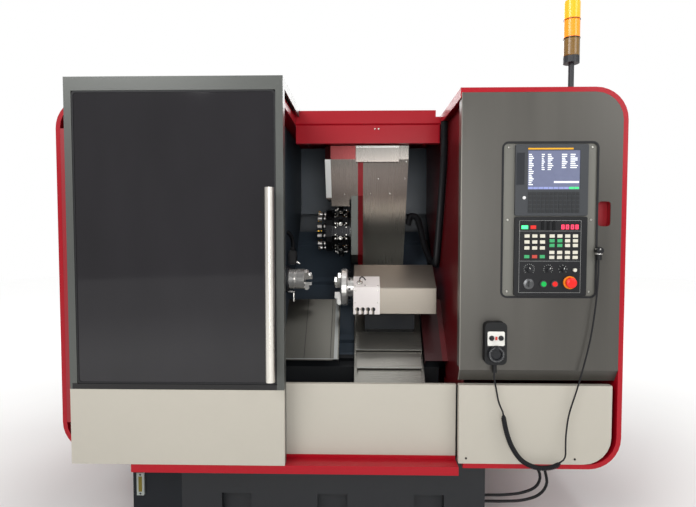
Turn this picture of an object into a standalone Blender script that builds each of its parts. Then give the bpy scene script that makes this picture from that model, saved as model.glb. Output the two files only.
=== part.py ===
"""Twin-spindle slant-bed turning centre with a turret, standing on levelling feet.

Metres, +Z up, +X to the right of a person who faces the machine, +Y to the back.
The origin is on the floor, at the middle of the machine's outer box.
"""

import math

import bmesh
import bpy
from mathutils import Matrix, Vector

# Shared clearances
SEAT_GAP = 0.0003
CUT_OVERRUN = 0.02

# Enclosure
WIDTH = 2.39
DEPTH = 1.62
HALF_WIDTH = WIDTH / 2
# Places across and along the machine are those at its usual width and depth, and follow both
ACROSS = WIDTH / 2.39
ALONG = DEPTH / 1.62
HANDLE_REACH = 0.105
FRONT_Y = -DEPTH / 2 + HANDLE_REACH
AXIS_HEIGHT = 1.045
ENCLOSURE_RISE = 0.825
ENCLOSURE_TOP = AXIS_HEIGHT + ENCLOSURE_RISE
ENCLOSURE_BOTTOM = 0.317
HOUSING_CORNER = 0.13
INNER_ARC_STEPS = 6
HOUSING_WALL = 0.019
HOUSING_FLANGE = 0.04
FLANGE_SHEET = 0.004
LEFT_SETBACK = 0.13 * ALONG
ROOF_SETBACK = 0.54 * ALONG
OPENING_LEFT = -0.182 * ACROSS
OPENING_RIGHT = 0.528 * ACROSS
ROOF_SHEET = 0.016
BEAM_DROP = 0.13
BEAM_DEPTH = 0.05
BEAM_LIP_HEIGHT = 0.032
BEAM_LIP_REACH = 0.008
BACK_DOOR_SHEET = 0.012
BACK_PANEL_SHEET = 0.02
LOUVRE_COUNT = 7
LOUVRE_WIDTH = 0.26
LOUVRE_HEIGHT = 0.012
LOUVRE_PITCH = 0.03
LOUVRE_LEFT = -0.95 * ACROSS
LOUVRE_FOOT = 0.45
BACK_DOOR_LEFT = -0.10 * ACROSS
BACK_DOOR_RIGHT = 0.95 * ACROSS
BACK_DOOR_BOTTOM = 0.55
BACK_DOOR_DROP = 0.17
BACK_DOOR_TOP = ENCLOSURE_TOP - BACK_DOOR_DROP
BACK_DOOR_EDGE = 0.003

# Base casting and coolant tank
BASE_LEFT = -0.655 * ACROSS
BASE_RIGHT = 0.667 * ACROSS
BASE_SETBACK = 0.10 * ALONG
BASE_DEPTH = 1.255 * ALONG
FOOT_HEIGHT = 0.05
FOOT_RADIUS = 0.045
FOOT_INSET = 0.10
POCKET_WIDTH = 0.13
POCKET_HEIGHT = 0.10
POCKET_DEPTH = 0.04
POCKET_SPREAD = 0.42 * ACROSS
LEDGE_REACH = 0.15
LEDGE_HEIGHT = 0.045
TANK_WIDTH = 0.215
TANK_DEPTH = 1.05 * ALONG
TANK_HEIGHT = 0.30
TANK_LID_LIP = 0.008
TANK_LID = 0.02
GAUGE_WIDTH = 0.032
GAUGE_HEIGHT = 0.10
GAUGE_DEPTH = 0.012
GAUGE_INSET = 0.02

# Slanted guideways, in the tilted frame of the main spindle
SLANT = math.radians(45)
AXIS_SETBACK = 0.60 * ALONG
BED_DROP = 0.275
BED_SLOPE_LOW = -0.36 * ALONG
BED_SLOPE_HIGH = 0.62 * ALONG
BED_LEFT = -0.60 * ACROSS
BED_RIGHT = 0.53 * ACROSS
RAIL_HEIGHT = 0.03
RAIL_WIDTH = 0.035
LOWER_RAIL_PLACES = (-0.31 * ALONG, -0.199 * ALONG, 0.04 * ALONG)
UPPER_RAIL_PLACES = (0.20 * ALONG, 0.52 * ALONG)
SADDLE_THICKNESS = 0.045
SADDLE_EDGE = 0.003
SADDLE_LENGTH_LOW = -0.52 * ALONG
SADDLE_LENGTH_MID = 0.09 * ALONG
TURRET_SADDLE_LOW = 0.12 * ALONG
TURRET_SADDLE_HIGH = 0.60 * ALONG

# Sliding door
DOOR_LEFT = -1.065 * ACROSS
DOOR_RISE = 0.043
DOOR_TOP = ENCLOSURE_TOP + DOOR_RISE
DOOR_FACE = 0.035
DOOR_DEPTH = 0.05
DOOR_STILE = 0.030
DOOR_HEAD = 0.055
DOOR_RAIL_HEIGHT = 0.022
DOOR_SPLIT = 0.648
DOOR_SKIN = 0.023
DOOR_SHEET = 0.006
DOOR_ROOF_INSET = 0.001
DOOR_ROOF_DEPTH = 0.64 * ALONG
DOOR_FLANGE_DROP = 0.033
DOOR_FLANGE_END = 0.54 * ALONG
WINDOW_SHEET = 0.012
WINDOW_INSET = 0.004
HANDLE_RADIUS = 0.019
HANDLE_TOP = 1.467
HANDLE_BOTTOM = 0.697
HANDLE_INSET = 0.048
HANDLE_POST_INSET = 0.085
HANDLE_POST_RADIUS = 0.011
TRACK_DEPTH = 0.03
TRACK_SETBACK = 0.555 * ALONG
SHELF_LEFT = -0.82 * ACROSS
SHELF_HEIGHT = 0.035
SHELF_TOP = 0.3347
SHELF_REACH = 0.032
SHELF_UPSTAND = 0.015
SHELF_UPSTAND_SHEET = 0.02

# Front panels
PANEL_SHEET = 0.004
TRAY_SHEET = 0.003
FOLD_HEIGHT = 0.728
FOLD_DROP = 0.05
FOLD_DEPTH = 0.03
LEFT_RETURN = 0.05
LOWER_PANEL_GAP = 0.014
LOWER_PANEL_TOP = FOLD_HEIGHT - FOLD_DROP - LOWER_PANEL_GAP
LOWER_PANEL_BOTTOM = ENCLOSURE_BOTTOM + HOUSING_WALL + SEAT_GAP
LOWER_PANEL_RIGHT = 1.155 * ACROSS
LOWER_PANEL_DEPTH = 0.03
MIDDLE_PANEL_SETBACK = 0.045 * ALONG
MIDDLE_PANEL_TOP = 0.653
MIDDLE_PANEL_DEPTH = 0.02

# Work area walls
LEFT_WALL_X = -0.262 * ACROSS
RIGHT_WALL_X = 0.556 * ACROSS
WALL_SHEET = 0.004
WALL_TOP = ENCLOSURE_TOP - HOUSING_FLANGE - SEAT_GAP
WALL_BOTTOM = 0.345
BACK_WALL_SETBACK = 1.295 * ALONG
WALL_SLOPE_CLEARANCE = 0.008
SPINDLE_HOLE = 0.075
GUARD_RISE = 0.057
GUARD_SHEET = 0.003
GUARD_SLOPE_HIGH = -0.0276 * ALONG
GUARD_SLOPE_LOW = -0.404 * ALONG
GUARD_EDGE_X = 0.02 * ACROSS
GUARD_EDGE_WIDTH = 0.028
GUARD_EDGE_RISE = 0.008
GUARD_EDGE_FLANGE = 0.03
RIGHT_GUARD_X = 0.445 * ACROSS
TROUGH_FRONT = 0.068 * ALONG
TROUGH_CLEARANCE = 0.02
TROUGH_FLOOR = 0.36
TROUGH_REAR_SHARE = 0.3815
TROUGH_FRONT_TOP = 0.645
TROUGH_SHEET = 0.003

# Main spindle
HEADSTOCK_LEFT = -0.58 * ACROSS
HEADSTOCK_RIGHT = -0.31 * ACROSS
HEADSTOCK_LENGTH = 0.34
HEADSTOCK_HEAD = 0.14
HEADSTOCK_CHAMFER = 0.045
NOSE_RADIUS = 0.066
CHUCK_FACE_X = -0.162 * ACROSS
CHUCK_LENGTH = 0.084
CHUCK_RADIUS = 0.053
CHUCK_BORE = 0.016
CHUCK_BORE_DEPTH = 0.06
JAW_LENGTH = 0.036
JAW_WIDTH = 0.022
JAW_INNER = 0.02
JAW_STEP = 0.036
JAW_OUTER = 0.060
CHUCK_RIM_SHARE = 0.06
CHUCK_GROOVE_SHARE = 0.05
CHUCK_GROOVE_PLACE_SHARE = 0.55
JAW_STEP_SHARE = 0.62
JAW_NOSE_SHARE = 0.25
JAW_NOSE_RISE_SHARE = 0.40

# Turret
TURRET_PLACE = 0.3536 * ALONG
TURRET_STATIONS = 12
DISC_LEFT = -0.063 * ACROSS
DISC_THICKNESS = 0.034
DISC_RADIUS = 0.118
DRUM_RIGHT = 0.068 * ACROSS
DRUM_RADIUS = 0.104
HOLDER_REACH = 0.146
HOLDER_WIDTH = 0.036
HOLDER_LENGTH = 0.074
HOLDER_HEAD = 0.026
TOOL_REACH = 0.046
TOOL_SIZE = 0.020
TOOL_SHARE = 0.82
HOLDER_ROOT_SHARE = 0.8
HEAD_SHARE = 0.38
COLUMN_LEFT = 0.1146 * ACROSS
COLUMN_RIGHT = 0.3756 * ACROSS
COLUMN_RISE = 0.691
COLUMN_TOP = AXIS_HEIGHT + COLUMN_RISE
COLUMN_FRONT = 0.60 * ALONG
COLUMN_FASCIA = 0.07
COLUMN_FOOT_HIGH = 0.59 * ALONG
COLUMN_FOOT_LOW = 0.2616 * ALONG
COLUMN_BOX_LEFT = 0.103 * ACROSS
COLUMN_BOX_RIGHT = 0.323 * ACROSS
COLUMN_BOX_HEIGHT = 0.086
COLUMN_BOX_REACH = 0.025
HEAD_LEFT = -0.0577 * ACROSS
HEAD_RISE = 0.423
HEAD_BOTTOM = AXIS_HEIGHT + HEAD_RISE
HEAD_LIP_DROP = 0.038
HEAD_LIP = HEAD_BOTTOM - HEAD_LIP_DROP
HEAD_LIP_LEFT = -0.03 * ACROSS
HEAD_BACK = 1.02 * ALONG
HEAD_CHAMFER = 0.05
HUB_RADIUS = 0.085

# Second spindle
SUB_SHIFT = -0.055 * ALONG
SUB_BLOCK_LEFT = 0.093 * ACROSS
SUB_BLOCK_RIGHT = 0.2225 * ACROSS
SUB_COVER_RIGHT = 0.50 * ACROSS
SUB_COVER_FRONT = 0.42 * ALONG
SUB_COVER_DROP = 0.157
SUB_COVER_BOTTOM = AXIS_HEIGHT - SUB_COVER_DROP
SUB_BROW_DROP = 0.0285
SUB_COVER_BROW = AXIS_HEIGHT - SUB_BROW_DROP
SUB_COVER_RISE = 0.074
SUB_COVER_TOP = AXIS_HEIGHT + SUB_COVER_RISE
SUB_COVER_CREST = 0.575 * ALONG
SUB_COVER_CREST_BACK = 0.60 * ALONG
SUB_COVER_BACK = 0.66 * ALONG
SUB_SHOULDER_DROP = 0.015
SUB_COVER_SHOULDER = AXIS_HEIGHT - SUB_SHOULDER_DROP
SUB_COVER_HEEL = 0.045
SUB_FOOT_LEFT = 0.15 * ACROSS
SUB_FOOT_RIGHT = 0.40 * ACROSS
SUB_FOOT_LOW = -0.225 * ALONG
SUB_FOOT_HIGH = 0.03 * ALONG
SUB_INSTEP = 0.006
SUB_FOOT_FRONT = 0.50 * ALONG
SUB_TOE_DROP = 0.088
SUB_FOOT_TOE = SUB_COVER_BOTTOM - SUB_TOE_DROP
SUB_HEEL_DROP = 0.055
SUB_HEEL_TOP = AXIS_HEIGHT - SUB_HEEL_DROP
SUB_HEEL_BACK = 0.70 * ALONG
PLATE_SHEET = 0.006
PLATE_TOP_SHARE = 0.42
KEYHOLE_COUNT = 4
KEYHOLE_RADIUS = 0.011
KEYHOLE_HEIGHT = 0.035
KEYHOLE_NECK_SHARE = 0.55
PLATE_END_SHARE = 1.2
PLATE_BROW_SHARE = 0.6
SUB_CHUCK_LEFT = 0.028 * ACROSS
SUB_CHUCK_LENGTH = 0.035
SUB_CHUCK_RADIUS = 0.095
SUB_NECK_RADIUS = 0.05
SUB_BORE = 0.022
SUB_JAW_LENGTH = 0.0317
SUB_JAW_WIDTH = 0.030
SUB_JAW_INNER = 0.028
SUB_JAW_STEP = 0.060
SUB_JAW_OUTER = 0.093
SUB_SADDLE_LEFT = 0.095 * ACROSS
SUB_SADDLE_RIGHT = 0.445 * ACROSS

# Telescopic way covers: slope places, falls below the axis plane, sides
WAY_COVER_SHEET = 0.003
WAY_COVER_STEP = 0.013
WAY_COVER_TOP = 0.156
WAY_COVER_LEFT = 0.104 * ACROSS
WAY_COVER_RIGHT = 0.436 * ACROSS
WAY_COVER_NEST = 0.006
WAY_COVER_STARTS = (-0.2253 * ALONG, -0.295 * ALONG, -0.385 * ALONG)
WAY_COVER_ENDS = (-0.335 * ALONG, -0.43 * ALONG, -0.517 * ALONG)

# Operator controls
CONTROL_LEFT = 0.699 * ACROSS
CONTROL_RIGHT = 1.078 * ACROSS
CONTROL_DROP = 0.219
CONTROL_TOP = ENCLOSURE_TOP - CONTROL_DROP
CONTROL_HEIGHT = 0.623
CONTROL_BOTTOM = CONTROL_TOP - CONTROL_HEIGHT
CONTROL_CORNER = 0.022
CONTROL_LAP = 0.012
CONTROL_SHEET = 0.005
HAND_RECESS_GAP = 0.004
HAND_RECESS_WIDTH = 0.05
HAND_RECESS_HEIGHT = 0.10
HAND_RECESS_DROP = 0.236
HAND_RECESS_TOP = CONTROL_TOP - HAND_RECESS_DROP
HAND_RECESS_DEPTH = 0.03
HAND_RECESS_SHEET = 0.002
HAND_RECESS_CORNER = 0.0125
UNIT_LEFT = 0.7476 * ACROSS
UNIT_RIGHT = 1.0373 * ACROSS
UNIT_MARGIN = 0.008
UNIT_TOP = CONTROL_TOP - UNIT_MARGIN
UNIT_HEIGHT = 0.286
UNIT_BOTTOM = UNIT_TOP - UNIT_HEIGHT
UNIT_DEPTH = 0.012
SCREEN_LEFT = 0.797 * ACROSS
SCREEN_RIGHT = 1.0047 * ACROSS
SCREEN_DROP = 0.024
SCREEN_TOP = UNIT_TOP - SCREEN_DROP
SCREEN_HEIGHT = 0.157
SCREEN_BOTTOM = SCREEN_TOP - SCREEN_HEIGHT
SCREEN_RECESS = 0.003
KEY_PITCH = 0.0172
KEY_SIZE = 0.0135
KEY_RISE = 0.002
KEYBOARD_COLUMNS = 12
KEYBOARD_ROWS = 5
OPERATION_GAP = 0.004
OPERATION_TOP = UNIT_BOTTOM - OPERATION_GAP
OPERATION_MARGIN = 0.006
OPERATION_BOTTOM = CONTROL_BOTTOM + OPERATION_MARGIN
LEFT_KEY_COLUMNS = 3
RIGHT_KEY_COLUMNS = 4
LEFT_KEY_DROPS = (0.0, 0.024, 0.048, 0.083)
RIGHT_KEY_DROPS = (0.0, 0.019, 0.038, 0.066, 0.086)
PANEL_KEY_PITCH = 0.031
PANEL_KEY_WIDTH = 0.020
PANEL_KEY_HEIGHT = 0.013
LEFT_KEY_X = 0.797 * ACROSS
RIGHT_KEY_X = 0.897 * ACROSS
KEY_TOP_DROP = 0.077
KEY_TOP_Z = OPERATION_TOP - KEY_TOP_DROP
WINDOW_LEFT_X = 0.932 * ACROSS
WINDOW_WIDTH = 0.075
WINDOW_HEIGHT = 0.024
LAMP_ROW_DROP = 0.041
LAMP_ROW_Z = OPERATION_TOP - LAMP_ROW_DROP
BUTTON_ROW_RISE = 0.0485
BUTTON_ROW = OPERATION_BOTTOM + BUTTON_ROW_RISE
KNOB_ROW_RISE = 0.108
KNOB_ROW = OPERATION_BOTTOM + KNOB_ROW_RISE
ESTOP_RISE = 0.0546
ESTOP_PLACE = (0.9697 * ACROSS, OPERATION_BOTTOM + ESTOP_RISE)
ESTOP_COLLAR = 0.026
ESTOP_RADIUS = 0.021
ESTOP_STEM = 0.011
ESTOP_HEIGHT = 0.028
ESTOP_STROKE = 0.005
ESTOP_COLLAR_SHARE = 0.3
ESTOP_CROWN_SHARE = 0.6
ESTOP_SHOULDER_SHARE = 0.9
KNOB_PLACES = (0.808 * ACROSS, 0.8834 * ACROSS, 0.9424 * ACROSS)
KNOB_RADII = (0.015, 0.012, 0.011)
KNOB_HEIGHT = 0.018
KNOB_SKIRT_SHARE = 0.3
KNOB_TOP_SHARE = 0.72
START_X = 0.865 * ACROSS
STOP_X = 0.9098 * ACROSS
BUTTON_RADIUS = 0.0105
BUTTON_BEZEL = 0.014
BUTTON_HEIGHT = 0.010
BUTTON_STROKE = 0.0035
SWITCH_X = 0.8067 * ACROSS
SWITCH_RADIUS = 0.021
SWITCH_BARREL_SHARE = 0.55
SWITCH_GRIP_SHARE = 0.16

# Hand wheel pendant
PENDANT_LEFT = 0.626 * ACROSS
PENDANT_WIDTH = 0.088
PENDANT_RISE = 0.203
PENDANT_TOP = FOLD_HEIGHT + PENDANT_RISE
PENDANT_HEIGHT = 0.172
PENDANT_DEPTH = 0.042
PENDANT_CORNER = 0.02
WHEEL_RISE = 0.045
WHEEL_RADIUS = 0.034
WHEEL_HEIGHT = 0.014
WHEEL_DISH_SHARE = 0.5
WHEEL_HUB_SHARE = 0.55
WHEEL_BOWL_SHARE = 0.62
WHEEL_RIM_SHARE = 0.94
WHEEL_EDGE_SHARE = 0.7
CRANK_RADIUS_SHARE = 0.16
CRANK_PLACE_SHARE = 0.75
CRANK_RISE_SHARE = 1.2
RELIEF_RADIUS = 0.009
RELIEF_LENGTH = 0.035
PLUG_RADIUS = 0.014
PLUG_LENGTH = 0.038
PLUG_NECK_SHARE = 0.8
PLUG_PLACE = (1.082 * ACROSS, 1.180)

# Cords and hoses
CORD_RADIUS = 0.0035
COIL_RADIUS = 0.0105
CABLE_RADIUS = 0.006
HOSE_RADIUS = 0.018
HOSE_CLEARANCE = 0.002
# How closely each route is cut into straight runs, in radii
CORD_END_SHARE = 2.5
CORD_SPACING_SHARE = 5.0
COIL_SPACING_SHARE = 3.0
CABLE_SPACING_SHARE = 4.5
HOSE_SPACING_SHARE = 2.6
# Routes: place across, distance from the route's own plane, height; the hose's are above the axis
CORD_SETBACK = -0.021
CORD_UPPER_ROUTE = ((0.67, 0.0, 0.70), (0.677, -0.002, 0.66), (0.686, -0.006, 0.61), (0.6955, -0.010, 0.582))
COIL_ROUTE = (
    (0.7047, -0.012, 0.5555), (0.709, -0.013, 0.525), (0.722, -0.014, 0.47), (0.745, -0.015, 0.415),
    (0.782, -0.015, 0.366), (0.835, -0.015, 0.340), (0.888, -0.015, 0.338), (0.920, -0.015, 0.347),
    (0.936, -0.015, 0.362),
)
CORD_LOWER_ROUTE = (
    (0.9565, -0.014, 0.392), (0.957, -0.012, 0.425), (0.960, -0.008, 0.48), (0.972, -0.006, 0.56),
    (1.008, -0.004, 0.68), (1.050, -0.001, 0.85), (1.071, 0.0, 1.00),
)
CORD_PLUG_ROUTE = ((1.081, -0.001, 1.11), (1.082, 0.0, 1.150))
CABLE_1_START = (0.886, 0.10)
CABLE_1_ROUTE = (
    (0.888, 0.10, 0.285), (0.905, 0.105, 0.235), (0.890, 0.115, 0.185), (0.835, 0.13, 0.150),
    (0.760, 0.145, 0.132), (0.700, 0.15, 0.128),
)
CABLE_2_START = (0.918, 0.10)
CABLE_2_ROUTE = (
    (0.921, 0.10, 0.275), (0.934, 0.105, 0.205), (0.905, 0.115, 0.150), (0.840, 0.13, 0.117),
    (0.760, 0.145, 0.103), (0.700, 0.15, 0.100),
)
HOSE_START = (0.81, 0.285)
HOSE_RISE = (0.012, 0.795, 0.33)
HOSE_SAG_ROUTE = ((0.440, 0.785, 0.32), (0.462, 0.78, 0.255), (0.480, 0.775, 0.175), (0.508, 0.765, 0.10))
HOSE_WALL_ROUTE = (
    (0.745, 0.07), (0.705, 0.08), (0.66, 0.145), (0.60, 0.275), (0.53, 0.435), (0.48, 0.575), (0.462, 0.655),
)
HOSE_ROOF_SETBACK = 0.46
HOSE_ROOF_DROPS = (0.09, 0.04, 0.0)

# Signal lamp
LAMP_INSET = 0.113
LAMP_X = HALF_WIDTH - LAMP_INSET
LAMP_SETBACK = 0.30 * ALONG
LAMP_RISE = 0.46
LAMP_TOP = ENCLOSURE_TOP + LAMP_RISE
LAMP_TIER = 0.082
LAMP_TIERS = 3
LAMP_RADIUS = 0.035
LAMP_POLE_RADIUS = 0.0125
LAMP_BASE_RADIUS = 0.045
LAMP_BASE_HEIGHT = 0.03
LAMP_SOCKET_HEIGHT = 0.03
LAMP_RIM = 0.002
LAMP_NECK = 0.006

AXIS_Y = FRONT_Y + AXIS_SETBACK
BACK_Y = FRONT_Y + DEPTH - HANDLE_REACH
BACK_PANEL_Y = BACK_Y - BACK_DOOR_SHEET - BACK_PANEL_SHEET
SADDLE_TOP = -BED_DROP + RAIL_HEIGHT + SADDLE_THICKNESS

TURN_TO_AXIS = {
    "x": (math.pi / 2, 0.0, math.pi / 2),
    "y": (math.pi / 2, 0.0, 0.0),
    "z": (0.0, 0.0, 0.0),
}
UNIT_AXIS = {"x": Vector((1, 0, 0)), "y": Vector((0, 1, 0)), "z": Vector((0, 0, 1))}


def clear_scene():
    for thing in list(bpy.data.objects):
        bpy.data.objects.remove(thing)


def new_collection(name):
    group = bpy.data.collections.new(name)
    bpy.context.scene.collection.children.link(group)
    return group


def make_material(name, colour, roughness, metallic=0.0):
    material = bpy.data.materials.new(name)
    material.use_nodes = True
    shader = material.node_tree.nodes["Principled BSDF"]
    shader.inputs["Base Color"].default_value = (*colour, 1.0)
    shader.inputs["Roughness"].default_value = roughness
    shader.inputs["Metallic"].default_value = metallic
    return material


def linear(red, green, blue):
    """Linear colour of an sRGB colour in 0 to 255."""
    return tuple((level / 255) ** 2.2 for level in (red, green, blue))


def add_object(name, data, material, group, parent=None):
    thing = bpy.data.objects.new(name, data)
    group.objects.link(thing)
    if material is not None and not thing.material_slots:
        data.materials.append(material)
    thing.parent = parent
    return thing


def empty_at(name, place, turn, group, parent=None):
    frame = bpy.data.objects.new(name, None)
    group.objects.link(frame)
    frame.location = place
    frame.rotation_euler = turn
    frame.parent = parent
    return frame


def arc_points(centre, radius, start, end, steps):
    """Points of an arc, angles in degrees."""
    points = []
    for index in range(steps + 1):
        angle = math.radians(start + (end - start) * index / steps)
        points.append((centre[0] + radius * math.cos(angle), centre[1] + radius * math.sin(angle)))
    return points


def rounded_rectangle(left, right, bottom, top, radius, steps=4):
    """Counter-clockwise outline with round corners."""
    points = []
    points += arc_points((right - radius, bottom + radius), radius, -90, 0, steps)
    points += arc_points((right - radius, top - radius), radius, 0, 90, steps)
    points += arc_points((left + radius, top - radius), radius, 90, 180, steps)
    points += arc_points((left + radius, bottom + radius), radius, 180, 270, steps)
    return points


def rectangle(left, right, bottom, top):
    return [(left, bottom), (right, bottom), (right, top), (left, top)]


def prism(name, loops, axis, low, high, material, group, parent=None):
    """Flat outline (outer loop first, then holes), drawn out along an axis from low to high.

    Outlines are (x, z) for axis y, (y, z) for axis x and (x, y) for axis z.
    """
    curve = bpy.data.curves.new(name, "CURVE")
    curve.dimensions = "2D"
    curve.fill_mode = "BOTH"
    curve.extrude = (high - low) / 2
    for loop in loops:
        spline = curve.splines.new("POLY")
        spline.points.add(len(loop) - 1)
        for point, (across, up) in zip(spline.points, loop):
            point.co = (across, up, 0.0, 1.0)
        spline.use_cyclic_u = True
    thing = add_object(name, curve, material, group, parent)
    thing.rotation_euler = TURN_TO_AXIS[axis]
    thing.location = UNIT_AXIS[axis] * ((low + high) / 2)
    return thing


def as_mesh(thing):
    """Replace a curve object by its mesh, so that it can be cut, joined or bevelled."""
    bpy.context.view_layer.update()
    graph = bpy.context.evaluated_depsgraph_get()
    mesh = bpy.data.meshes.new_from_object(thing.evaluated_get(graph))
    name, group, parent = thing.name, thing.users_collection[0], thing.parent
    matrix = thing.matrix_world.copy()
    mesh.transform(matrix)
    weld = bmesh.new()
    weld.from_mesh(mesh)
    bmesh.ops.remove_doubles(weld, verts=weld.verts, dist=1e-6)
    bmesh.ops.recalc_face_normals(weld, faces=weld.faces)
    weld.to_mesh(mesh)
    weld.free()
    bpy.data.objects.remove(thing)
    solid = bpy.data.objects.new(name, mesh)
    group.objects.link(solid)
    if parent is not None:
        solid.parent = parent
        solid.matrix_parent_inverse = parent.matrix_world.inverted()
    return solid


def box(name, low, high, material, group, parent=None, bevel=0.0, segments=2):
    mesh = bpy.data.meshes.new(name)
    shape = bmesh.new()
    size = [high[axis] - low[axis] for axis in range(3)]
    middle = [(high[axis] + low[axis]) / 2 for axis in range(3)]
    bmesh.ops.create_cube(shape, size=1.0, matrix=Matrix.Diagonal((*size, 1.0)))
    shape.to_mesh(mesh)
    shape.free()
    thing = add_object(name, mesh, material, group, parent)
    thing.location = middle
    if bevel > 0:
        add_bevel(thing, bevel, segments)
    return thing


def cylinder(name, radius, length, middle, axis, material, group, parent=None, sides=24, top_radius=None):
    """Cylinder or cone about an axis; top_radius is the radius at its far end along the axis."""
    mesh = bpy.data.meshes.new(name)
    shape = bmesh.new()
    far = radius if top_radius is None else top_radius
    bmesh.ops.create_cone(
        shape, cap_ends=True, segments=sides, radius1=radius, radius2=far, depth=length
    )
    shape.to_mesh(mesh)
    shape.free()
    thing = add_object(name, mesh, material, group, parent)
    turns = {"x": (0.0, math.pi / 2, 0.0), "y": (-math.pi / 2, 0.0, 0.0), "z": (0.0, 0.0, 0.0)}
    thing.rotation_euler = turns[axis]
    thing.location = middle
    smooth(thing)
    return thing


def turned(name, profile, place, axis, material, group, parent=None, steps=32):
    """Turned piece: profile (radius, height), from the top down its outer side, about an axis."""
    mesh = bpy.data.meshes.new(name)
    shape = bmesh.new()
    verts = [shape.verts.new((radius, 0.0, height)) for radius, height in profile]
    for one, other in zip(verts, verts[1:]):
        shape.edges.new((one, other))
    shape.to_mesh(mesh)
    shape.free()
    thing = add_object(name, mesh, material, group, parent)
    screw = thing.modifiers.new("turn", "SCREW")
    screw.steps = steps
    screw.render_steps = steps
    screw.use_merge_vertices = True
    screw.merge_threshold = 0.0001
    turns = {
        "x": (0.0, math.pi / 2, 0.0),
        "-x": (0.0, -math.pi / 2, 0.0),
        "-y": (math.pi / 2, 0.0, 0.0),
        "z": (0.0, 0.0, 0.0),
    }
    thing.rotation_euler = turns[axis]
    thing.location = place
    return thing


def smooth(thing, angle=math.radians(35)):
    thing.data.shade_smooth()
    thing.data.set_sharp_from_angle(angle=angle)


def add_bevel(thing, width, segments=2, angle=math.radians(40)):
    bevel = thing.modifiers.new("edges", "BEVEL")
    bevel.width = width
    bevel.segments = segments
    bevel.limit_method = "ANGLE"
    bevel.angle_limit = angle


def change(thing, tool, operation):
    modifier = thing.modifiers.new(operation.lower(), "BOOLEAN")
    modifier.object = tool
    modifier.operation = operation
    modifier.solver = "EXACT"


def hide_cutter(tool):
    tool.hide_render = True
    tool.display_type = "WIRE"
    return tool


def cut(thing, tool):
    change(thing, hide_cutter(tool), "DIFFERENCE")


def join(thing, tool):
    change(thing, hide_cutter(tool), "UNION")


def boxes_mesh(name, boxes, group, parent=None):
    """Several separate boxes (low, high corner) in one mesh, used as one tool."""
    mesh = bpy.data.meshes.new(name)
    shape = bmesh.new()
    for low, high in boxes:
        size = [high[axis] - low[axis] for axis in range(3)]
        middle = Vector([(high[axis] + low[axis]) / 2 for axis in range(3)])
        matrix = Matrix.Translation(middle) @ Matrix.Diagonal((*size, 1.0))
        bmesh.ops.create_cube(shape, size=1.0, matrix=matrix)
    shape.to_mesh(mesh)
    shape.free()
    return add_object(name, mesh, None, group, parent)


def smooth_route(points, spacing):
    """Points along one smooth curve through the route, about a spacing apart."""
    route = [Vector(point) for point in points]
    ends = [route[0] * 2 - route[1], *route, route[-1] * 2 - route[-2]]
    dense = []
    for index in range(1, len(ends) - 2):
        before, start, end, after = ends[index - 1:index + 3]
        for step in range(16):
            part = step / 16
            square, cube = part * part, part * part * part
            dense.append(0.5 * (
                2 * start + (end - before) * part
                + (2 * before - 5 * start + 4 * end - after) * square
                + (3 * start - before - 3 * end + after) * cube
            ))
    dense.append(route[-1])
    total = sum((two - one).length for one, two in zip(dense, dense[1:]))
    count = max(3, round(total / spacing))
    spaced = [dense[0]]
    walked, target = 0.0, total / count
    for one, two in zip(dense, dense[1:]):
        run = (two - one).length
        while run > 0 and walked + run >= target - 1e-9 and len(spaced) < count:
            spaced.append(one.lerp(two, (target - walked) / run))
            target += total / count
        walked += run
    spaced.append(dense[-1])
    return spaced


def tube(name, points, radius, material, group, parent=None, resolution=3, spacing_share=5.0):
    curve = bpy.data.curves.new(name, "CURVE")
    curve.dimensions = "3D"
    curve.bevel_depth = radius
    curve.bevel_resolution = resolution
    curve.use_fill_caps = True
    route = smooth_route(points, radius * spacing_share)
    spline = curve.splines.new("POLY")
    spline.points.add(len(route) - 1)
    for point, place in zip(spline.points, route):
        point.co = (*place, 1.0)
    return add_object(name, curve, material, group, parent)


def slope_point(along, above):
    """World (y, z) of a place in the tilted frame of the main spindle."""
    return (
        AXIS_Y + along * math.cos(SLANT) - above * math.sin(SLANT),
        AXIS_HEIGHT + along * math.sin(SLANT) + above * math.cos(SLANT),
    )


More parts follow.
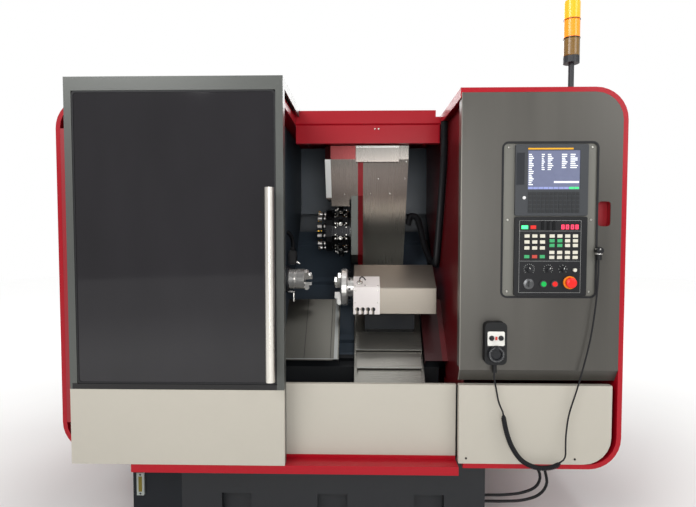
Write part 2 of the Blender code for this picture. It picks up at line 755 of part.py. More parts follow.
def build_base(kit):
    base_front = FRONT_Y + BASE_SETBACK
    base_back = base_front + BASE_DEPTH
    base_top = ENCLOSURE_BOTTOM - SEAT_GAP
    bed = box(
        "machine_bed", (BASE_LEFT, base_front, FOOT_HEIGHT), (BASE_RIGHT, base_back, base_top),
        kit.slate, kit.parts,
    )
    low_y, low_z = slope_point(BED_SLOPE_LOW, -BED_DROP)
    high_y, high_z = slope_point(BED_SLOPE_HIGH, -BED_DROP)
    wedge_foot = base_top - CUT_OVERRUN
    wedge = prism(
        "bed_wedge",
        [[(low_y, wedge_foot), (high_y, wedge_foot), (high_y, high_z), (low_y, low_z)]],
        "x", BED_LEFT, BED_RIGHT, None, kit.cutters,
    )
    join(bed, as_mesh(wedge))
    rails = []
    for place in LOWER_RAIL_PLACES + UPPER_RAIL_PLACES:
        rails.append((
            (BED_LEFT, place - RAIL_WIDTH / 2, -BED_DROP - CUT_OVERRUN),
            (BED_RIGHT, place + RAIL_WIDTH / 2, -BED_DROP + RAIL_HEIGHT),
        ))
    join(bed, boxes_mesh("rail_bars", rails, kit.cutters, kit.slope))
    ledge = (
        (BASE_RIGHT - CUT_OVERRUN, base_front + LEDGE_HEIGHT, base_top - LEDGE_HEIGHT),
        (BASE_RIGHT + LEDGE_REACH, base_back, base_top),
    )
    join(bed, boxes_mesh("bed_ledge", [ledge], kit.cutters))
    feet = bpy.data.meshes.new("bed_feet")
    shape = bmesh.new()
    for across in (BASE_LEFT + FOOT_INSET, (BASE_LEFT + BASE_RIGHT) / 2, BASE_RIGHT - FOOT_INSET):
        for along in (base_front + FOOT_INSET, base_back - FOOT_INSET):
            height = FOOT_HEIGHT + CUT_OVERRUN
            bmesh.ops.create_cone(
                shape, cap_ends=True, segments=16, radius1=FOOT_RADIUS, radius2=FOOT_RADIUS / 2,
                depth=height, matrix=Matrix.Translation((across, along, height / 2)),
            )
    shape.to_mesh(feet)
    shape.free()
    join(bed, add_object("bed_feet", feet, None, kit.cutters))
    middle = (BASE_LEFT + BASE_RIGHT) / 2
    pockets = []
    for step in (-1, 0, 1):
        centre = middle + step * POCKET_SPREAD
        pockets.append((
            (centre - POCKET_WIDTH / 2, base_front - CUT_OVERRUN, FOOT_HEIGHT - CUT_OVERRUN),
            (centre + POCKET_WIDTH / 2, base_front + POCKET_DEPTH, FOOT_HEIGHT + POCKET_HEIGHT),
        ))
    cut(bed, boxes_mesh("bed_pockets", pockets, kit.cutters))

    tank_right = BASE_LEFT - SEAT_GAP
    tank_left = tank_right - TANK_WIDTH
    lid_foot = TANK_HEIGHT - TANK_LID
    tank = box(
        "coolant_tank", (tank_left, base_front, 0.0), (tank_right, base_front + TANK_DEPTH, TANK_HEIGHT),
        kit.slate, kit.parts,
    )
    neck = (
        (tank_left - CUT_OVERRUN, base_front - CUT_OVERRUN, lid_foot - TANK_LID),
        (tank_left + TANK_LID_LIP, base_front + TANK_DEPTH + CUT_OVERRUN, lid_foot),
    )
    front_neck = (
        (tank_left - CUT_OVERRUN, base_front - CUT_OVERRUN, lid_foot - TANK_LID),
        (tank_right + CUT_OVERRUN, base_front + TANK_LID_LIP, lid_foot),
    )
    cut(tank, boxes_mesh("tank_neck", [neck], kit.cutters))
    cut(tank, boxes_mesh("tank_front_neck", [front_neck], kit.cutters))
    gauge_left = tank_left + GAUGE_INSET
    gauge_top = lid_foot - TANK_LID - GAUGE_INSET
    gauge = (
        (gauge_left, base_front - GAUGE_DEPTH, gauge_top - GAUGE_HEIGHT),
        (gauge_left + GAUGE_WIDTH, base_front + CUT_OVERRUN, gauge_top),
    )
    join(tank, boxes_mesh("level_gauge", [gauge], kit.cutters))


def housing_outline(side, inner_top, inner_bottom):
    """Open band with round outer corners, seen from the front; side is -1 left, 1 right."""
    wall = HOUSING_WALL
    outer, top, bottom, corner = HALF_WIDTH, ENCLOSURE_TOP, ENCLOSURE_BOTTOM, HOUSING_CORNER
    inner_corner = corner - wall
    middle = outer - corner
    lip = side * inner_top
    points = [(lip, top)]
    points += arc_points((middle, top - corner), corner, 90, 0, 8)
    points += arc_points((middle, bottom + corner), corner, 0, -90, 8)
    points += [(side * inner_bottom, bottom), (side * inner_bottom, bottom + wall)]
    points += arc_points((middle, bottom + corner), inner_corner, -90, 0, INNER_ARC_STEPS)
    points += arc_points((middle, top - corner), inner_corner, 0, 90, INNER_ARC_STEPS)
    points += [
        (lip + FLANGE_SHEET, top - wall), (lip + FLANGE_SHEET, top - HOUSING_FLANGE),
        (lip, top - HOUSING_FLANGE),
    ]
    return [(side * across, up) for across, up in points]


def build_housings(kit):
    back = BACK_PANEL_Y - SEAT_GAP
    prism(
        "right_end_housing", [housing_outline(1, OPENING_RIGHT, BED_RIGHT + CUT_OVERRUN)],
        "y", FRONT_Y, back, kit.red, kit.parts,
    )
    prism(
        "left_end_housing", [housing_outline(-1, OPENING_LEFT - HOUSING_WALL, BED_LEFT - CUT_OVERRUN)],
        "y", FRONT_Y + LEFT_SETBACK, back, kit.red, kit.parts,
    )
    front = FRONT_Y + ROOF_SETBACK
    top = ENCLOSURE_TOP
    beam_foot = top - BEAM_DROP
    lip = top - BEAM_LIP_HEIGHT
    prism(
        "rear_roof",
        [[
            (front, top), (front, lip), (front + BEAM_LIP_REACH, lip - BEAM_LIP_REACH),
            (front + BEAM_LIP_REACH, beam_foot), (front + BEAM_DEPTH, beam_foot),
            (front + BEAM_DEPTH, top - ROOF_SHEET), (back, top - ROOF_SHEET), (back, top),
        ]],
        "x", OPENING_LEFT - HOUSING_WALL + SEAT_GAP, OPENING_RIGHT - SEAT_GAP, kit.red, kit.parts,
    )
    panel = prism(
        "back_panel",
        [rounded_rectangle(-HALF_WIDTH, HALF_WIDTH, ENCLOSURE_BOTTOM, ENCLOSURE_TOP, HOUSING_CORNER, 6)],
        "y", BACK_PANEL_Y, BACK_PANEL_Y + BACK_PANEL_SHEET, kit.grey, kit.parts,
    )
    build_louvres(kit, as_mesh(panel))


def build_louvres(kit, panel):
    slots = []
    for index in range(LOUVRE_COUNT):
        foot = LOUVRE_FOOT + index * LOUVRE_PITCH
        slots.append((
            (LOUVRE_LEFT, BACK_PANEL_Y - CUT_OVERRUN, foot),
            (LOUVRE_LEFT + LOUVRE_WIDTH, BACK_PANEL_Y + BACK_PANEL_SHEET + CUT_OVERRUN,
             foot + LOUVRE_HEIGHT),
        ))
    cut(panel, boxes_mesh("louvre_slots", slots, kit.cutters))
    sheet_front = BACK_PANEL_Y + BACK_PANEL_SHEET + SEAT_GAP
    hinge = empty_at("rear_door_hinge", (BACK_DOOR_LEFT, BACK_Y, 0.0), (0, 0, 0), kit.parts)
    box(
        "rear_cabinet_door",
        (0.0, sheet_front - BACK_Y, BACK_DOOR_BOTTOM),
        (BACK_DOOR_RIGHT - BACK_DOOR_LEFT, 0.0, BACK_DOOR_TOP),
        kit.grey, kit.parts, hinge, bevel=BACK_DOOR_EDGE,
    )


def build_inner_walls(kit):
    front = FRONT_Y + LEFT_SETBACK
    back = FRONT_Y + BACK_WALL_SETBACK
    slope_above = -BED_DROP + RAIL_HEIGHT + WALL_SLOPE_CLEARANCE
    low = slope_point(BED_SLOPE_LOW - BASE_SETBACK, slope_above)
    wall_back = back - SEAT_GAP
    reach = wall_back - AXIS_Y + slope_above * math.sin(SLANT)
    high = slope_point(reach / math.cos(SLANT), slope_above)
    bed_front, bed_edge = slope_point(BED_SLOPE_LOW, -BED_DROP)
    trough_back = bed_front - TROUGH_CLEARANCE
    rear_top = TROUGH_FLOOR + (bed_edge - TROUGH_FLOOR) * TROUGH_REAR_SHARE

    def side_outline(wall_front):
        return [
            (wall_front, WALL_BOTTOM), (trough_back, WALL_BOTTOM), (trough_back, low[1]),
            low, high, (wall_back, WALL_TOP), (wall_front, WALL_TOP),
        ]

    left = as_mesh(prism(
        "left_inner_wall", [side_outline(front + PANEL_SHEET / 2)],
        "x", LEFT_WALL_X, LEFT_WALL_X + WALL_SHEET, kit.wall, kit.parts,
    ))
    hole = cylinder(
        "spindle_hole", SPINDLE_HOLE, WALL_SHEET + 2 * CUT_OVERRUN,
        (LEFT_WALL_X + WALL_SHEET / 2, AXIS_Y, AXIS_HEIGHT), "x", None, kit.cutters,
    )
    cut(left, hole)
    right = as_mesh(prism(
        "right_inner_wall", [side_outline(FRONT_Y + LEFT_RETURN + SEAT_GAP)],
        "x", RIGHT_WALL_X, RIGHT_WALL_X + WALL_SHEET, kit.wall, kit.parts,
    ))
    build_guards(kit, right)
    box(
        "back_inner_wall", (LEFT_WALL_X, back, high[1]),
        (RIGHT_WALL_X + WALL_SHEET, back + WALL_SHEET, WALL_TOP), kit.wall, kit.parts,
    )
    edge = HALF_WIDTH - HOUSING_WALL - SEAT_GAP
    front_sheet = (
        (-edge, front, ENCLOSURE_BOTTOM + HOUSING_CORNER),
        (LEFT_WALL_X + WALL_SHEET, front + PANEL_SHEET, ENCLOSURE_TOP - HOUSING_CORNER),
    )
    join(left, boxes_mesh("left_front_sheet", [front_sheet], kit.cutters))
    trough_front = FRONT_Y + TROUGH_FRONT
    sheet = TROUGH_SHEET
    prism(
        "chip_trough",
        [[
            (trough_front, TROUGH_FRONT_TOP), (trough_front, TROUGH_FLOOR),
            (trough_back - SEAT_GAP, TROUGH_FLOOR), (trough_back - SEAT_GAP, rear_top),
            (trough_back - SEAT_GAP - sheet, rear_top),
            (trough_back - SEAT_GAP - sheet, TROUGH_FLOOR + sheet),
            (trough_front + sheet, TROUGH_FLOOR + sheet), (trough_front + sheet, TROUGH_FRONT_TOP),
        ]],
        "x", LEFT_WALL_X + WALL_SHEET + SEAT_GAP, RIGHT_WALL_X - SEAT_GAP, kit.black, kit.parts,
    )


def build_guards(kit, right_wall):
    """Sloped sheet covers over the guideways, left and right of the second spindle."""
    above = SADDLE_TOP + GUARD_RISE
    left = LEFT_WALL_X + WALL_SHEET + SEAT_GAP
    edge = GUARD_EDGE_X
    rib = edge - GUARD_EDGE_WIDTH
    low, high = GUARD_SLOPE_LOW, GUARD_SLOPE_HIGH
    outline = [
        (left, above), (edge - GUARD_SHEET, above), (edge - GUARD_SHEET, above - GUARD_EDGE_FLANGE),
        (edge, above - GUARD_EDGE_FLANGE), (edge, above + GUARD_SHEET + GUARD_EDGE_RISE),
        (rib, above + GUARD_SHEET + GUARD_EDGE_RISE), (rib, above + GUARD_SHEET),
        (left, above + GUARD_SHEET),
    ]
    prism("left_way_guard", [outline], "y", low, high, kit.steel, kit.parts, kit.slope)
    right = RIGHT_WALL_X + WALL_SHEET / 2
    outline = [
        (RIGHT_GUARD_X, above - GUARD_EDGE_FLANGE), (RIGHT_GUARD_X + GUARD_SHEET, above - GUARD_EDGE_FLANGE),
        (RIGHT_GUARD_X + GUARD_SHEET, above), (right, above), (right, above + GUARD_SHEET),
        (RIGHT_GUARD_X, above + GUARD_SHEET),
    ]
    join(right_wall, as_mesh(prism(
        "right_way_guard", [outline], "y", low, high, None, kit.cutters, kit.slope
    )))


def build_door(kit):
    slide = empty_at("door_slide_axis", (0, FRONT_Y, 0), (0, 0, 0), kit.parts)
    face = -DOOR_FACE
    back = face + DOOR_DEPTH
    right = OPENING_LEFT
    foot = SHELF_TOP + SEAT_GAP
    window = rectangle(
        DOOR_LEFT + DOOR_STILE, right - DOOR_STILE, DOOR_SPLIT + DOOR_RAIL_HEIGHT, DOOR_TOP - DOOR_HEAD
    )
    frame = as_mesh(prism(
        "door_frame", [rectangle(DOOR_LEFT, right, foot, DOOR_TOP), window],
        "y", FRONT_Y + face, FRONT_Y + back, kit.door_grey, kit.parts, None,
    ))
    skin_front = face + DOOR_SKIN
    skin_space = (
        (DOOR_LEFT - CUT_OVERRUN, FRONT_Y + face - CUT_OVERRUN, foot - CUT_OVERRUN),
        (right + CUT_OVERRUN, FRONT_Y + skin_front, DOOR_SPLIT),
    )
    cut(frame, boxes_mesh("door_skin_space", [skin_space], kit.cutters))
    edge = right - DOOR_ROOF_INSET
    roof_top = DOOR_TOP - DOOR_ROOF_INSET
    roof_foot = roof_top - DOOR_SHEET
    roof = as_mesh(prism(
        "door_roof",
        [[
            (DOOR_LEFT + DOOR_ROOF_INSET, roof_foot), (edge - DOOR_SHEET, roof_foot),
            (edge - DOOR_SHEET, roof_foot - DOOR_FLANGE_DROP), (edge, roof_foot - DOOR_FLANGE_DROP),
            (edge, roof_top), (DOOR_LEFT + DOOR_ROOF_INSET, roof_top),
        ]],
        "y", FRONT_Y + back - CUT_OVERRUN, FRONT_Y + DOOR_ROOF_DEPTH, None, kit.cutters,
    ))
    flange_end = (
        (edge - DOOR_SHEET - CUT_OVERRUN, FRONT_Y + DOOR_FLANGE_END,
         roof_foot - DOOR_FLANGE_DROP - CUT_OVERRUN),
        (edge + CUT_OVERRUN, FRONT_Y + DOOR_ROOF_DEPTH + CUT_OVERRUN, roof_foot),
    )
    cut(roof, boxes_mesh("door_flange_end", [flange_end], kit.cutters))
    join(frame, roof)
    keep_place(frame, slide)
    gap = SEAT_GAP
    pane = box(
        "door_window",
        (window[0][0] + gap, face + WINDOW_INSET, window[0][1] + gap),
        (window[1][0] - gap, face + WINDOW_INSET + WINDOW_SHEET, window[2][1] - gap),
        kit.glass, kit.parts, slide,
    )
    add_bevel(pane, TRAY_SHEET / 2, 1)
    tray_panel(
        kit, "door_lower_panel", rectangle(DOOR_LEFT, right, foot, DOOR_SPLIT - gap),
        rectangle(DOOR_LEFT + TRAY_SHEET, right - TRAY_SHEET, foot + TRAY_SHEET,
                  DOOR_SPLIT - gap - TRAY_SHEET),
        FRONT_Y + face, FRONT_Y + skin_front - gap, kit.cream, slide,
    )
    handle_x = right - HANDLE_INSET
    handle_y = -HANDLE_REACH + HANDLE_RADIUS
    bar = cylinder(
        "door_handle", HANDLE_RADIUS, HANDLE_TOP - HANDLE_BOTTOM,
        (handle_x, handle_y, (HANDLE_TOP + HANDLE_BOTTOM) / 2), "z", kit.satin, kit.parts, slide, 24,
    )
    for height in (HANDLE_TOP - HANDLE_POST_INSET, HANDLE_BOTTOM + HANDLE_POST_INSET):
        post_back = face + WINDOW_INSET - gap
        join(bar, cylinder(
            "handle_post", HANDLE_POST_RADIUS, post_back - handle_y,
            (handle_x, (post_back + handle_y) / 2, height), "y", None, kit.cutters, slide, 16,
        ))


def keep_place(thing, parent):
    """Parent an object that is already in its place."""
    bpy.context.view_layer.update()
    thing.parent = parent
    thing.matrix_parent_inverse = parent.matrix_world.inverted()


def tray_panel(kit, name, outer, inner, front, back, material, parent=None):
    """Folded sheet panel: a flat face with returns, open at the back."""
    panel = as_mesh(prism(name, [outer], "y", front, back, material, kit.parts))
    hollow = as_mesh(prism(
        name + "_hollow", [inner], "y", front + TRAY_SHEET, back + CUT_OVERRUN, None, kit.cutters
    ))
    cut(panel, hollow)
    if parent is not None:
        keep_place(panel, parent)
    return panel


def build_door_rails(kit):
    track_front = FRONT_Y + TRACK_SETBACK
    box(
        "door_upper_track",
        (DOOR_LEFT, track_front, ENCLOSURE_TOP + SEAT_GAP),
        (OPENING_RIGHT - CUT_OVERRUN, track_front + TRACK_DEPTH,
         DOOR_TOP - DOOR_ROOF_INSET - DOOR_SHEET - SEAT_GAP),
        kit.steel, kit.parts,
    )
    front = FRONT_Y - SHELF_REACH
    back = FRONT_Y + BASE_SETBACK - SEAT_GAP
    upstand = FRONT_Y + MIDDLE_PANEL_SETBACK
    foot = SHELF_TOP - SHELF_HEIGHT
    prism(
        "door_shelf",
        [[
            (front, foot), (back, foot), (back, SHELF_TOP), (upstand + SHELF_UPSTAND_SHEET, SHELF_TOP),
            (upstand + SHELF_UPSTAND_SHEET, SHELF_TOP + SHELF_UPSTAND),
            (upstand, SHELF_TOP + SHELF_UPSTAND), (upstand, SHELF_TOP), (front, SHELF_TOP),
        ]],
        "x", SHELF_LEFT, OPENING_RIGHT - SEAT_GAP, kit.red, kit.parts,
    )


def hand_recess_outline(margin):
    """Round-cornered hand hole beside the control opening, grown by a margin."""
    left = CONTROL_RIGHT + HAND_RECESS_GAP
    return rounded_rectangle(
        left - margin, left + HAND_RECESS_WIDTH + margin,
        HAND_RECESS_TOP - HAND_RECESS_HEIGHT - margin, HAND_RECESS_TOP + margin,
        HAND_RECESS_CORNER, 3,
    )


def build_front_panels(kit):
    gap = SEAT_GAP
    left = OPENING_RIGHT + FLANGE_SHEET + gap
    right = HALF_WIDTH - HOUSING_WALL - gap
    top = ENCLOSURE_TOP - HOUSING_WALL - gap
    corner = HOUSING_CORNER - HOUSING_WALL - gap
    outline = [(left, FOLD_HEIGHT), (right, FOLD_HEIGHT)]
    outline += arc_points((right - corner, top - corner), corner, 0, 90, INNER_ARC_STEPS)
    outline += [(left, top)]
    opening = rounded_rectangle(
        CONTROL_LEFT, CONTROL_RIGHT, CONTROL_BOTTOM, CONTROL_TOP, CONTROL_CORNER, 3
    )
    recess = hand_recess_outline(0.0)
    front = FRONT_Y
    panel = as_mesh(prism(
        "cabinet_front_panel", [outline, opening, recess], "y", front, front + PANEL_SHEET,
        kit.grey, kit.parts,
    ))
    fold = prism(
        "front_fold",
        [[
            (front + gap, FOLD_HEIGHT + PANEL_SHEET), (front + gap, FOLD_HEIGHT - gap),
            (front + FOLD_DEPTH, FOLD_HEIGHT - FOLD_DROP),
            (front + FOLD_DEPTH + PANEL_SHEET, FOLD_HEIGHT - FOLD_DROP),
            (front + PANEL_SHEET - gap, FOLD_HEIGHT + PANEL_SHEET),
        ]],
        "x", left + gap, right - gap, None, kit.cutters,
    )
    join(panel, as_mesh(fold))
    left_return = (
        (left + gap, front + PANEL_SHEET / 2, FOLD_HEIGHT + 2 * PANEL_SHEET),
        (left + PANEL_SHEET, front + LEFT_RETURN, top - gap),
    )
    join(panel, boxes_mesh("front_left_return", [left_return], kit.cutters))

    bottom = LOWER_PANEL_BOTTOM
    lower_corner = HOUSING_CORNER - HOUSING_WALL
    edge = LOWER_PANEL_RIGHT

    def lower_outline(inset):
        reach = lower_corner - inset
        points = arc_points((edge - lower_corner, bottom + lower_corner), reach, -90, 0, 6)
        points += [(edge - inset, LOWER_PANEL_TOP - inset), (left + inset, LOWER_PANEL_TOP - inset)]
        return points + [(left + inset, bottom + inset)]

    tray_panel(
        kit, "cabinet_lower_panel", lower_outline(0.0), lower_outline(TRAY_SHEET),
        FRONT_Y, FRONT_Y + LOWER_PANEL_DEPTH, kit.cream,
    )
    middle_foot = SHELF_TOP + SHELF_UPSTAND + gap
    middle_front = FRONT_Y + MIDDLE_PANEL_SETBACK
    middle_right = OPENING_RIGHT - gap
    tray_panel(
        kit, "middle_lower_panel",
        rectangle(LEFT_WALL_X, middle_right, middle_foot, MIDDLE_PANEL_TOP),
        rectangle(LEFT_WALL_X + TRAY_SHEET, middle_right - TRAY_SHEET, middle_foot + TRAY_SHEET,
                  MIDDLE_PANEL_TOP - TRAY_SHEET),
        middle_front, middle_front + MIDDLE_PANEL_DEPTH, kit.cream,
    )


def build_spindles(kit):
    slope = kit.slope
    half = HEADSTOCK_LENGTH / 2
    cham = HEADSTOCK_CHAMFER
    seat = -BED_DROP + RAIL_HEIGHT + SEAT_GAP
    outline = [
        (-half, seat), (half, seat), (half, HEADSTOCK_HEAD - cham), (half - cham, HEADSTOCK_HEAD),
        (cham - half, HEADSTOCK_HEAD), (-half, HEADSTOCK_HEAD - cham),
    ]
    head = as_mesh(prism(
        "main_headstock", [outline], "x", HEADSTOCK_LEFT, HEADSTOCK_RIGHT, kit.black, kit.parts, slope
    ))
    chuck_back = CHUCK_FACE_X - CHUCK_LENGTH
    nose_left = HEADSTOCK_RIGHT - CUT_OVERRUN
    nose_right = chuck_back - SEAT_GAP
    join(head, cylinder(
        "spindle_nose", NOSE_RADIUS, nose_right - nose_left, ((nose_left + nose_right) / 2, 0, 0),
        "x", None, kit.cutters, slope, 32,
    ))
    spin = empty_at("main_spindle_axis", (CHUCK_FACE_X, 0, 0), (0, 0, 0), kit.parts, slope)
    chuck(kit, "main_chuck", spin, 1, CHUCK_RADIUS, CHUCK_LENGTH, CHUCK_BORE, CHUCK_BORE_DEPTH)
    for index in range(3):
        jaw(kit, f"main_jaw_{index + 1}", spin, 1, index, JAW_LENGTH, JAW_WIDTH,
            (JAW_INNER, JAW_STEP, JAW_OUTER))


def chuck(kit, name, parent, side, radius, length, bore, bore_depth):
    """Turned chuck body; its face is at the parent's origin and its body lies behind it."""
    rim = radius * CHUCK_RIM_SHARE
    groove = radius * CHUCK_GROOVE_SHARE
    middle = -length * CHUCK_GROOVE_PLACE_SHARE
    profile = [
        (0.0, -bore_depth), (bore, -bore_depth), (bore, 0.0), (radius - rim, 0.0), (radius, -rim),
        (radius, middle), (radius - groove, middle - groove), (radius - groove, middle - 2 * groove),
        (radius, middle - 3 * groove), (radius, -length + rim), (radius - rim, -length), (0.0, -length),
    ]
    body = turned(name, profile, (0, 0, 0), "x" if side > 0 else "-x", kit.chrome, kit.parts, parent, 32)
    return body


def jaw(kit, name, parent, side, index, length, width, reaches):
    """Stepped jaw on the chuck's face, in the direction of its radial slide."""
    inner, step, outer = reaches
    turn = 2 * math.pi * index / 3
    frame = empty_at(name + "_slide", (0, 0, 0), (turn, 0, 0), kit.parts, parent)
    outline = [
        (SEAT_GAP, inner), (length, inner), (length, step), (length * JAW_STEP_SHARE, step),
        (length * JAW_STEP_SHARE, outer - width * JAW_NOSE_SHARE), (length * JAW_NOSE_RISE_SHARE, outer),
        (SEAT_GAP, outer),
    ]
    points = [(side * along, up) for along, up in outline]
    body = prism(name, [points], "y", -width / 2, width / 2, kit.chrome, kit.parts, frame)
    return body


def column_outline():
    front = FRONT_Y + COLUMN_FRONT
    fascia_foot = COLUMN_TOP - COLUMN_FASCIA
    seat = SADDLE_TOP + SEAT_GAP
    foot = slope_point(COLUMN_FOOT_LOW, seat)
    heel = slope_point(COLUMN_FOOT_HIGH, seat)
    return [(front, COLUMN_TOP), (front, fascia_foot), foot, heel, (heel[0], COLUMN_TOP)]


def front_lean(height):
    """World y of the column's leaning front face at a height."""
    outline = column_outline()
    (top_y, top_z), (foot_y, foot_z) = outline[1], outline[2]
    return top_y + (foot_y - top_y) * (top_z - height) / (top_z - foot_z)


def build_turret(kit):
    slope = kit.slope
    saddle_foot = SADDLE_TOP - SADDLE_THICKNESS + SEAT_GAP
    box(
        "turret_saddle", (COLUMN_LEFT - LEDGE_HEIGHT, TURRET_SADDLE_LOW, saddle_foot),
        (COLUMN_RIGHT, TURRET_SADDLE_HIGH, SADDLE_TOP), kit.black, kit.parts, slope,
        bevel=SADDLE_EDGE,
    )
    column = as_mesh(prism(
        "turret_column", [column_outline()], "x", COLUMN_LEFT, COLUMN_RIGHT, kit.steel, kit.parts,
    ))
    front = FRONT_Y + COLUMN_FRONT
    ledge = (
        (COLUMN_BOX_LEFT, front - COLUMN_BOX_REACH, COLUMN_TOP - COLUMN_BOX_HEIGHT),
        (COLUMN_BOX_RIGHT, front + CUT_OVERRUN, COLUMN_TOP - TRAY_SHEET),
    )
    join(column, boxes_mesh("column_box", [ledge], kit.cutters))

    fascia_foot = COLUMN_TOP - COLUMN_FASCIA
    head_back = FRONT_Y + HEAD_BACK
    head_outline = [
        (front, COLUMN_TOP), (front, fascia_foot), (front_lean(HEAD_BOTTOM), HEAD_BOTTOM),
        (head_back, HEAD_BOTTOM), (head_back, COLUMN_TOP),
    ]
    head = as_mesh(prism(
        "turret_head", [head_outline], "x", HEAD_LEFT, COLUMN_LEFT + CUT_OVERRUN, kit.steel, kit.cutters
    ))
    lip_outline = [
        (front_lean(HEAD_BOTTOM + CUT_OVERRUN), HEAD_BOTTOM + CUT_OVERRUN),
        (front_lean(HEAD_LIP), HEAD_LIP),
        (front_lean(HEAD_LIP) + PLATE_SHEET, HEAD_LIP),
        (front_lean(HEAD_BOTTOM + CUT_OVERRUN) + PLATE_SHEET, HEAD_BOTTOM + CUT_OVERRUN),
    ]
    join(head, as_mesh(prism(
        "head_lip", [lip_outline], "x", HEAD_LIP_LEFT, DRUM_RIGHT, None, kit.cutters
    )))
    chamfer = prism(
        "head_chamfer",
        [[
            (HEAD_LEFT - CUT_OVERRUN, front - CUT_OVERRUN), (HEAD_LEFT + HEAD_CHAMFER, front - CUT_OVERRUN),
            (HEAD_LEFT - CUT_OVERRUN, front + HEAD_CHAMFER),
        ]],
        "z", fascia_foot, COLUMN_TOP + CUT_OVERRUN, None, kit.cutters,
    )
    cut(head, as_mesh(chamfer))
    join(column, head)
    turret_y, turret_z = slope_point(TURRET_PLACE, 0.0)
    hub_left = DRUM_RIGHT + SEAT_GAP
    join(column, cylinder(
        "turret_hub", HUB_RADIUS, COLUMN_LEFT + CUT_OVERRUN - hub_left,
        ((COLUMN_LEFT + CUT_OVERRUN + hub_left) / 2, turret_y, turret_z), "x", None, kit.cutters, None, 32,
    ))

    index_axis = empty_at("turret_index_axis", (0, TURRET_PLACE, 0), (0, 0, 0), kit.parts, slope)
    build_turret_disc(kit, index_axis)


def build_turret_disc(kit, axis):
    """Twelve-sided disc and drum with a tool holder and a tool at each station, all in one."""
    disc_right = DISC_LEFT + DISC_THICKNESS
    disc = cylinder(
        "turret_disc", DISC_RADIUS, DISC_THICKNESS, ((DISC_LEFT + disc_right) / 2, 0, 0), "x",
        kit.steel_dark, kit.parts, axis, TURRET_STATIONS * 2,
    )
    join(disc, cylinder(
        "turret_drum", DRUM_RADIUS, DRUM_RIGHT - DISC_LEFT - CUT_OVERRUN / 2,
        ((DISC_LEFT + CUT_OVERRUN / 2 + DRUM_RIGHT) / 2, 0, 0), "x", None, kit.cutters, axis,
        TURRET_STATIONS,
    ))
    holders = bpy.data.meshes.new("turret_holders")
    shape = bmesh.new()
    start = disc_right + (DRUM_RIGHT - disc_right - HOLDER_LENGTH) / 2
    for station in range(TURRET_STATIONS):
        turn = Matrix.Rotation(2 * math.pi * (station + 0.5) / TURRET_STATIONS, 4, "X")
        inner = DRUM_RADIUS * HOLDER_ROOT_SHARE
        block_height = HOLDER_REACH - HOLDER_HEAD - inner
        add_block(shape, turn, (start + HOLDER_LENGTH / 2, 0, inner + block_height / 2),
                  (HOLDER_LENGTH, HOLDER_WIDTH, block_height))
    shape.to_mesh(holders)
    shape.free()
    join(disc, add_object("turret_holders", holders, None, kit.cutters, axis))
    heads = bpy.data.meshes.new("turret_heads")
    shape = bmesh.new()
    for station in range(TURRET_STATIONS):
        turn = Matrix.Rotation(2 * math.pi * (station + 0.5) / TURRET_STATIONS, 4, "X")
        foot = HOLDER_REACH - HOLDER_HEAD * 2
        cap = Matrix.Translation((start + HOLDER_LENGTH / 2, 0, (HOLDER_REACH + foot) / 2))
        bmesh.ops.create_cone(
            shape, cap_ends=True, segments=12, radius1=HOLDER_WIDTH * HEAD_SHARE,
            radius2=HOLDER_WIDTH * HEAD_SHARE, depth=HOLDER_REACH - foot, matrix=turn @ cap,
        )
    shape.to_mesh(heads)
    shape.free()
    join(disc, add_object("turret_heads", heads, None, kit.cutters, axis))
    tools = bpy.data.meshes.new("turret_tools")
    shape = bmesh.new()
    for station in range(TURRET_STATIONS):
        turn = Matrix.Rotation(2 * math.pi * station / TURRET_STATIONS, 4, "X")
        reach = TOOL_REACH + DISC_THICKNESS / 2
        middle = DISC_LEFT - TOOL_REACH + reach / 2
        place = Matrix.Translation((middle, 0, DISC_RADIUS * TOOL_SHARE))
        along = Matrix.Rotation(math.pi / 2, 4, "Y")
        bmesh.ops.create_cone(
            shape, cap_ends=True, segments=10, radius1=TOOL_SIZE / 2, radius2=TOOL_SIZE / 2,
            depth=reach, matrix=turn @ place @ along,
        )
    shape.to_mesh(tools)
    shape.free()
    join(disc, add_object("turret_tools", tools, None, kit.cutters, axis))


def add_block(shape, turn, middle, size):
    matrix = turn @ Matrix.Translation(middle) @ Matrix.Diagonal((*size, 1.0))
    bmesh.ops.create_cube(shape, size=1.0, matrix=matrix)


def sub_cover_outline():
    front = FRONT_Y + SUB_COVER_FRONT
    return [
        (front, SUB_COVER_BOTTOM), (front, SUB_COVER_BROW), (FRONT_Y + SUB_COVER_CREST, SUB_COVER_TOP),
        (FRONT_Y + SUB_COVER_CREST_BACK, SUB_COVER_TOP), (FRONT_Y + SUB_COVER_BACK, SUB_COVER_SHOULDER),
        (FRONT_Y + SUB_COVER_BACK, SUB_COVER_BOTTOM + SUB_COVER_HEEL),
        (FRONT_Y + SUB_COVER_BACK - SUB_COVER_HEEL, SUB_COVER_BOTTOM),
    ]


